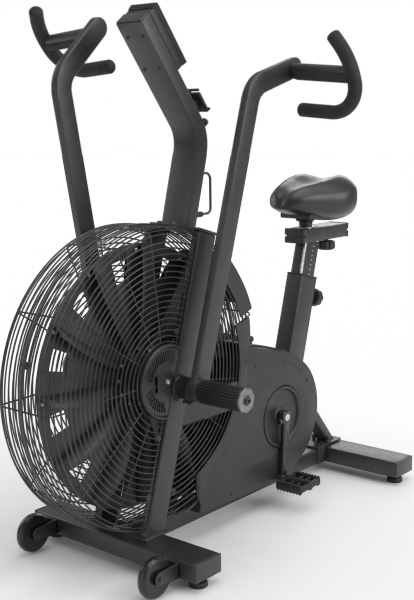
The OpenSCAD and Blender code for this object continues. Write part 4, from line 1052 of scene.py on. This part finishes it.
def console():
    s = Shape()
    s.box(0, 18, -41, 41, 138, 298, 2, post_place())
    s.build("console_back", console_plastic, "frame", ["console_housing"])
    b = Shape()
    window = round_rect(-34, 34, 63, 151, 3)
    button = circle(0, 32, 9.6, 28)
    face = Matrix(((0, 0, 1, 0), (1, 0, 0, 0), (0, 1, 0, 0), (0, 0, 0, 1)))
    place = post_place(135) @ face
    for inset, t0, t1 in ((2, 17, 21), (4, 20, 24), (1, 23, 28), (2.5, 27, 30)):
        b.prism([round_rect(inset - 44, 44 - inset, inset, 168 - inset, 4)], t0, t1, 0.9, place)
    b.prism([round_rect(-44, 44, 0, 168, 5), window[::-1], button[::-1]], 29.5, 34.4, 1.8, place)
    b.build("console_frame", console_plastic, "frame", ["console_bezel"])
    w = Shape().prism([round_rect(-33.6, 33.6, 63.4, 150.6, 2.6)], 28.5, 31.6, 0.5, place)
    w.build("console_window", screen, "frame", ["console_screen"])
    digits = Shape()
    for row, z in enumerate((131, 105, 81)):
        for k in range(4 if row == 1 else 6):
            x = -24 + k * (16 if row == 1 else 9.6)
            h = 8 if row == 1 else 4.5
            digits.prism([round_rect(x, x + h * 0.9, z, z + 1.4, 0.4)], 31.4, 31.9, 0.1, place)
            digits.prism([round_rect(x, x + h * 0.9, z - h, z - h + 1.4, 0.4)], 31.4, 31.9, 0.1, place)
    digits.build("console_segments", segment)
    k = Shape()
    k.lathe([(0.1, 27.5), (9, 27.5), (9, 35.2), (8, 36.2), (5, 35.8), (0.1, 35.4)],
            place @ move(0, 32, 0), 32)
    k.build("console_button", rubber, "start_button", ["button_start"])


def phone_holder():
    s = Shape()
    base_at = post_place(-13)
    s.box(-0.5, 31, -20, 20, 16, 44, 3, base_at)
    s.box(30, 38, -36, 36, 2, 60, 3, base_at)
    s.box(37, 45, -36, 36, 2, 8, 2.4, base_at)
    for y in (-26, -13, 0, 13, 26):
        s.box(37.4, 39, y - 1.2, y + 1.2, 10, 54, 0.6, base_at)
    s.build("phone_plate", console_plastic, "frame", ["phone_base"])
    jaw = Shape()
    jaw.box(38.4, 45, -30, 30, 59.4, 65.4, 2.2, base_at)
    jaw.box(30.4, 41, -4.6, 4.6, 58, 65, 1, base_at)
    jaw.build("phone_jaw_bar", rubber, "jaw", ["phone_jaw"])
    knob = Shape()
    at = knob_place()
    knob.turned([(5, -12), (5, 20)], at, 20)
    lobed_knob(knob, at @ move(0, 0, 18), 10, 14, 8, 1)
    knob.build("phone_lock_knob", nylon, "holder_knob", ["phone_knob"])
    hook = Shape()
    path = [(200, 0, 828), (240, 0, 828), (268, 0, 828)]
    path += [(x, 0, z) for x, z in arc(268, 842, 14, -80, 0, 8)]
    path += [(282, 0, 880)] + [(x, 0, z) for x, z in arc(264, 914, 18, 0, 90, 10)]
    path += [(240, 0, 932), (212, 0, 932)]
    hook.tube(path, 2.6, 14)
    hook.build("hanger_wire", wire_paint, "frame", ["bottle_hook"])
    sleeve = Shape()
    for x0, x1 in ((196, 219), (221, 246)):
        sleeve.turned([(5.6, x0), (6.5, x0 + 1), (6.5, x1 - 1), (5.6, x1)],
                      move(0, 0, 828) @ lean(90), 28)
    sleeve.build("hanger_sleeve", rubber)


# ---------------------------------------------------------------- inner works

def inner_works():
    """The hidden drive parts keep their CAD shapes and get a finish."""
    for node, material in (("bottom_bracket", coat_paint), ("bearings", zinc), ("fan_axle", zinc),
                           ("drive_belt", belt), ("crank_axle", zinc), ("drive_pulley", nylon),
                           ("link_rod_left", zinc), ("link_rod_right", zinc)):
        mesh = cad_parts[node].data
        mesh.materials.clear()
        mesh.materials.append(material)


# ---------------------------------------------------------------- stage

def stage():
    bpy.ops.mesh.primitive_plane_add(size=40, location=(0, 0, 0))
    floor = bpy.context.object
    floor.name = "studio_floor"
    paper = bpy.data.materials.new("studio_paper")
    paper.use_nodes = True
    bsdf = paper.node_tree.nodes["Principled BSDF"]
    bsdf.inputs["Base Color"].default_value = (0.92, 0.92, 0.92, 1)
    bsdf.inputs["Roughness"].default_value = 0.9
    bsdf.inputs["Specular IOR Level"].default_value = 0.1
    floor.data.materials.append(paper)
    floor.is_shadow_catcher = True
    world = bpy.data.worlds.new("studio")
    bpy.context.scene.world = world
    world.use_nodes = True
    nodes, links = world.node_tree.nodes, world.node_tree.links
    path = nodes.new("ShaderNodeLightPath")
    seen = nodes.new("ShaderNodeBackground")
    seen.inputs["Color"].default_value = (1, 1, 1, 1)
    seen.inputs["Strength"].default_value = 1.0
    unseen = nodes["Background"]
    unseen.inputs["Color"].default_value = (0.93, 0.95, 1.0, 1)
    unseen.inputs["Strength"].default_value = 0.40
    pick = nodes.new("ShaderNodeMixShader")
    links.new(path.outputs["Is Camera Ray"], pick.inputs["Fac"])
    links.new(unseen.outputs[0], pick.inputs[1])
    links.new(seen.outputs[0], pick.inputs[2])
    links.new(pick.outputs[0], nodes["World Output"].inputs["Surface"])
    for name, place, size, power in (("key", (1.2, -4.2, 2.6), 3.2, 140), ("top", (0, -0.6, 4.4), 3.6, 90),
                                     ("rear_fill", (4.2, 1.6, 2.2), 2.4, 45),
                                     ("front_fill", (-4.4, 0.6, 1.4), 2.6, 18),
                                     ("far_fill", (-0.6, 4.2, 2.2), 2.6, 45)):
        lamp = bpy.data.objects.new(name, bpy.data.lights.new(name, "AREA"))
        bpy.context.scene.collection.objects.link(lamp)
        lamp.data.energy = power
        lamp.data.size = size
        lamp.location = place
        lamp.rotation_mode = "QUATERNION"
        lamp.rotation_quaternion = (Vector((0, 0, 0.6)) - Vector(place)).to_track_quat("-Z", "Y")


def camera():
    cam = bpy.data.objects.new("camera", bpy.data.cameras.new("camera"))
    bpy.context.scene.collection.objects.link(cam)
    yaw, pitch, roll = radians(39.92), radians(10.12), radians(-0.66)
    look = Vector((cos(yaw) * cos(pitch), sin(yaw) * cos(pitch), -sin(pitch)))
    cam.location = (-1.7846 - MID * MM, -1.7138, 1.0781)
    cam.rotation_mode = "QUATERNION"
    cam.rotation_quaternion = look.to_track_quat("-Z", "Y") @ Matrix.Rotation(roll, 4, "Z").to_quaternion()
    cam.data.sensor_width = 36
    cam.data.lens = 62.16
    bpy.context.scene.camera = cam


base()
legs()
crown_and_post()
seat_frame()
seat_parts()
seat_knobs()
saddle()
cage()
hub_and_leg_covers()
fan()
casing()
crank_set()
wheels()
feet()
arms()
console()
phone_holder()
inner_works()
stage()
camera()
view_settings = bpy.context.scene.view_settings
view_settings.view_transform = "Standard"
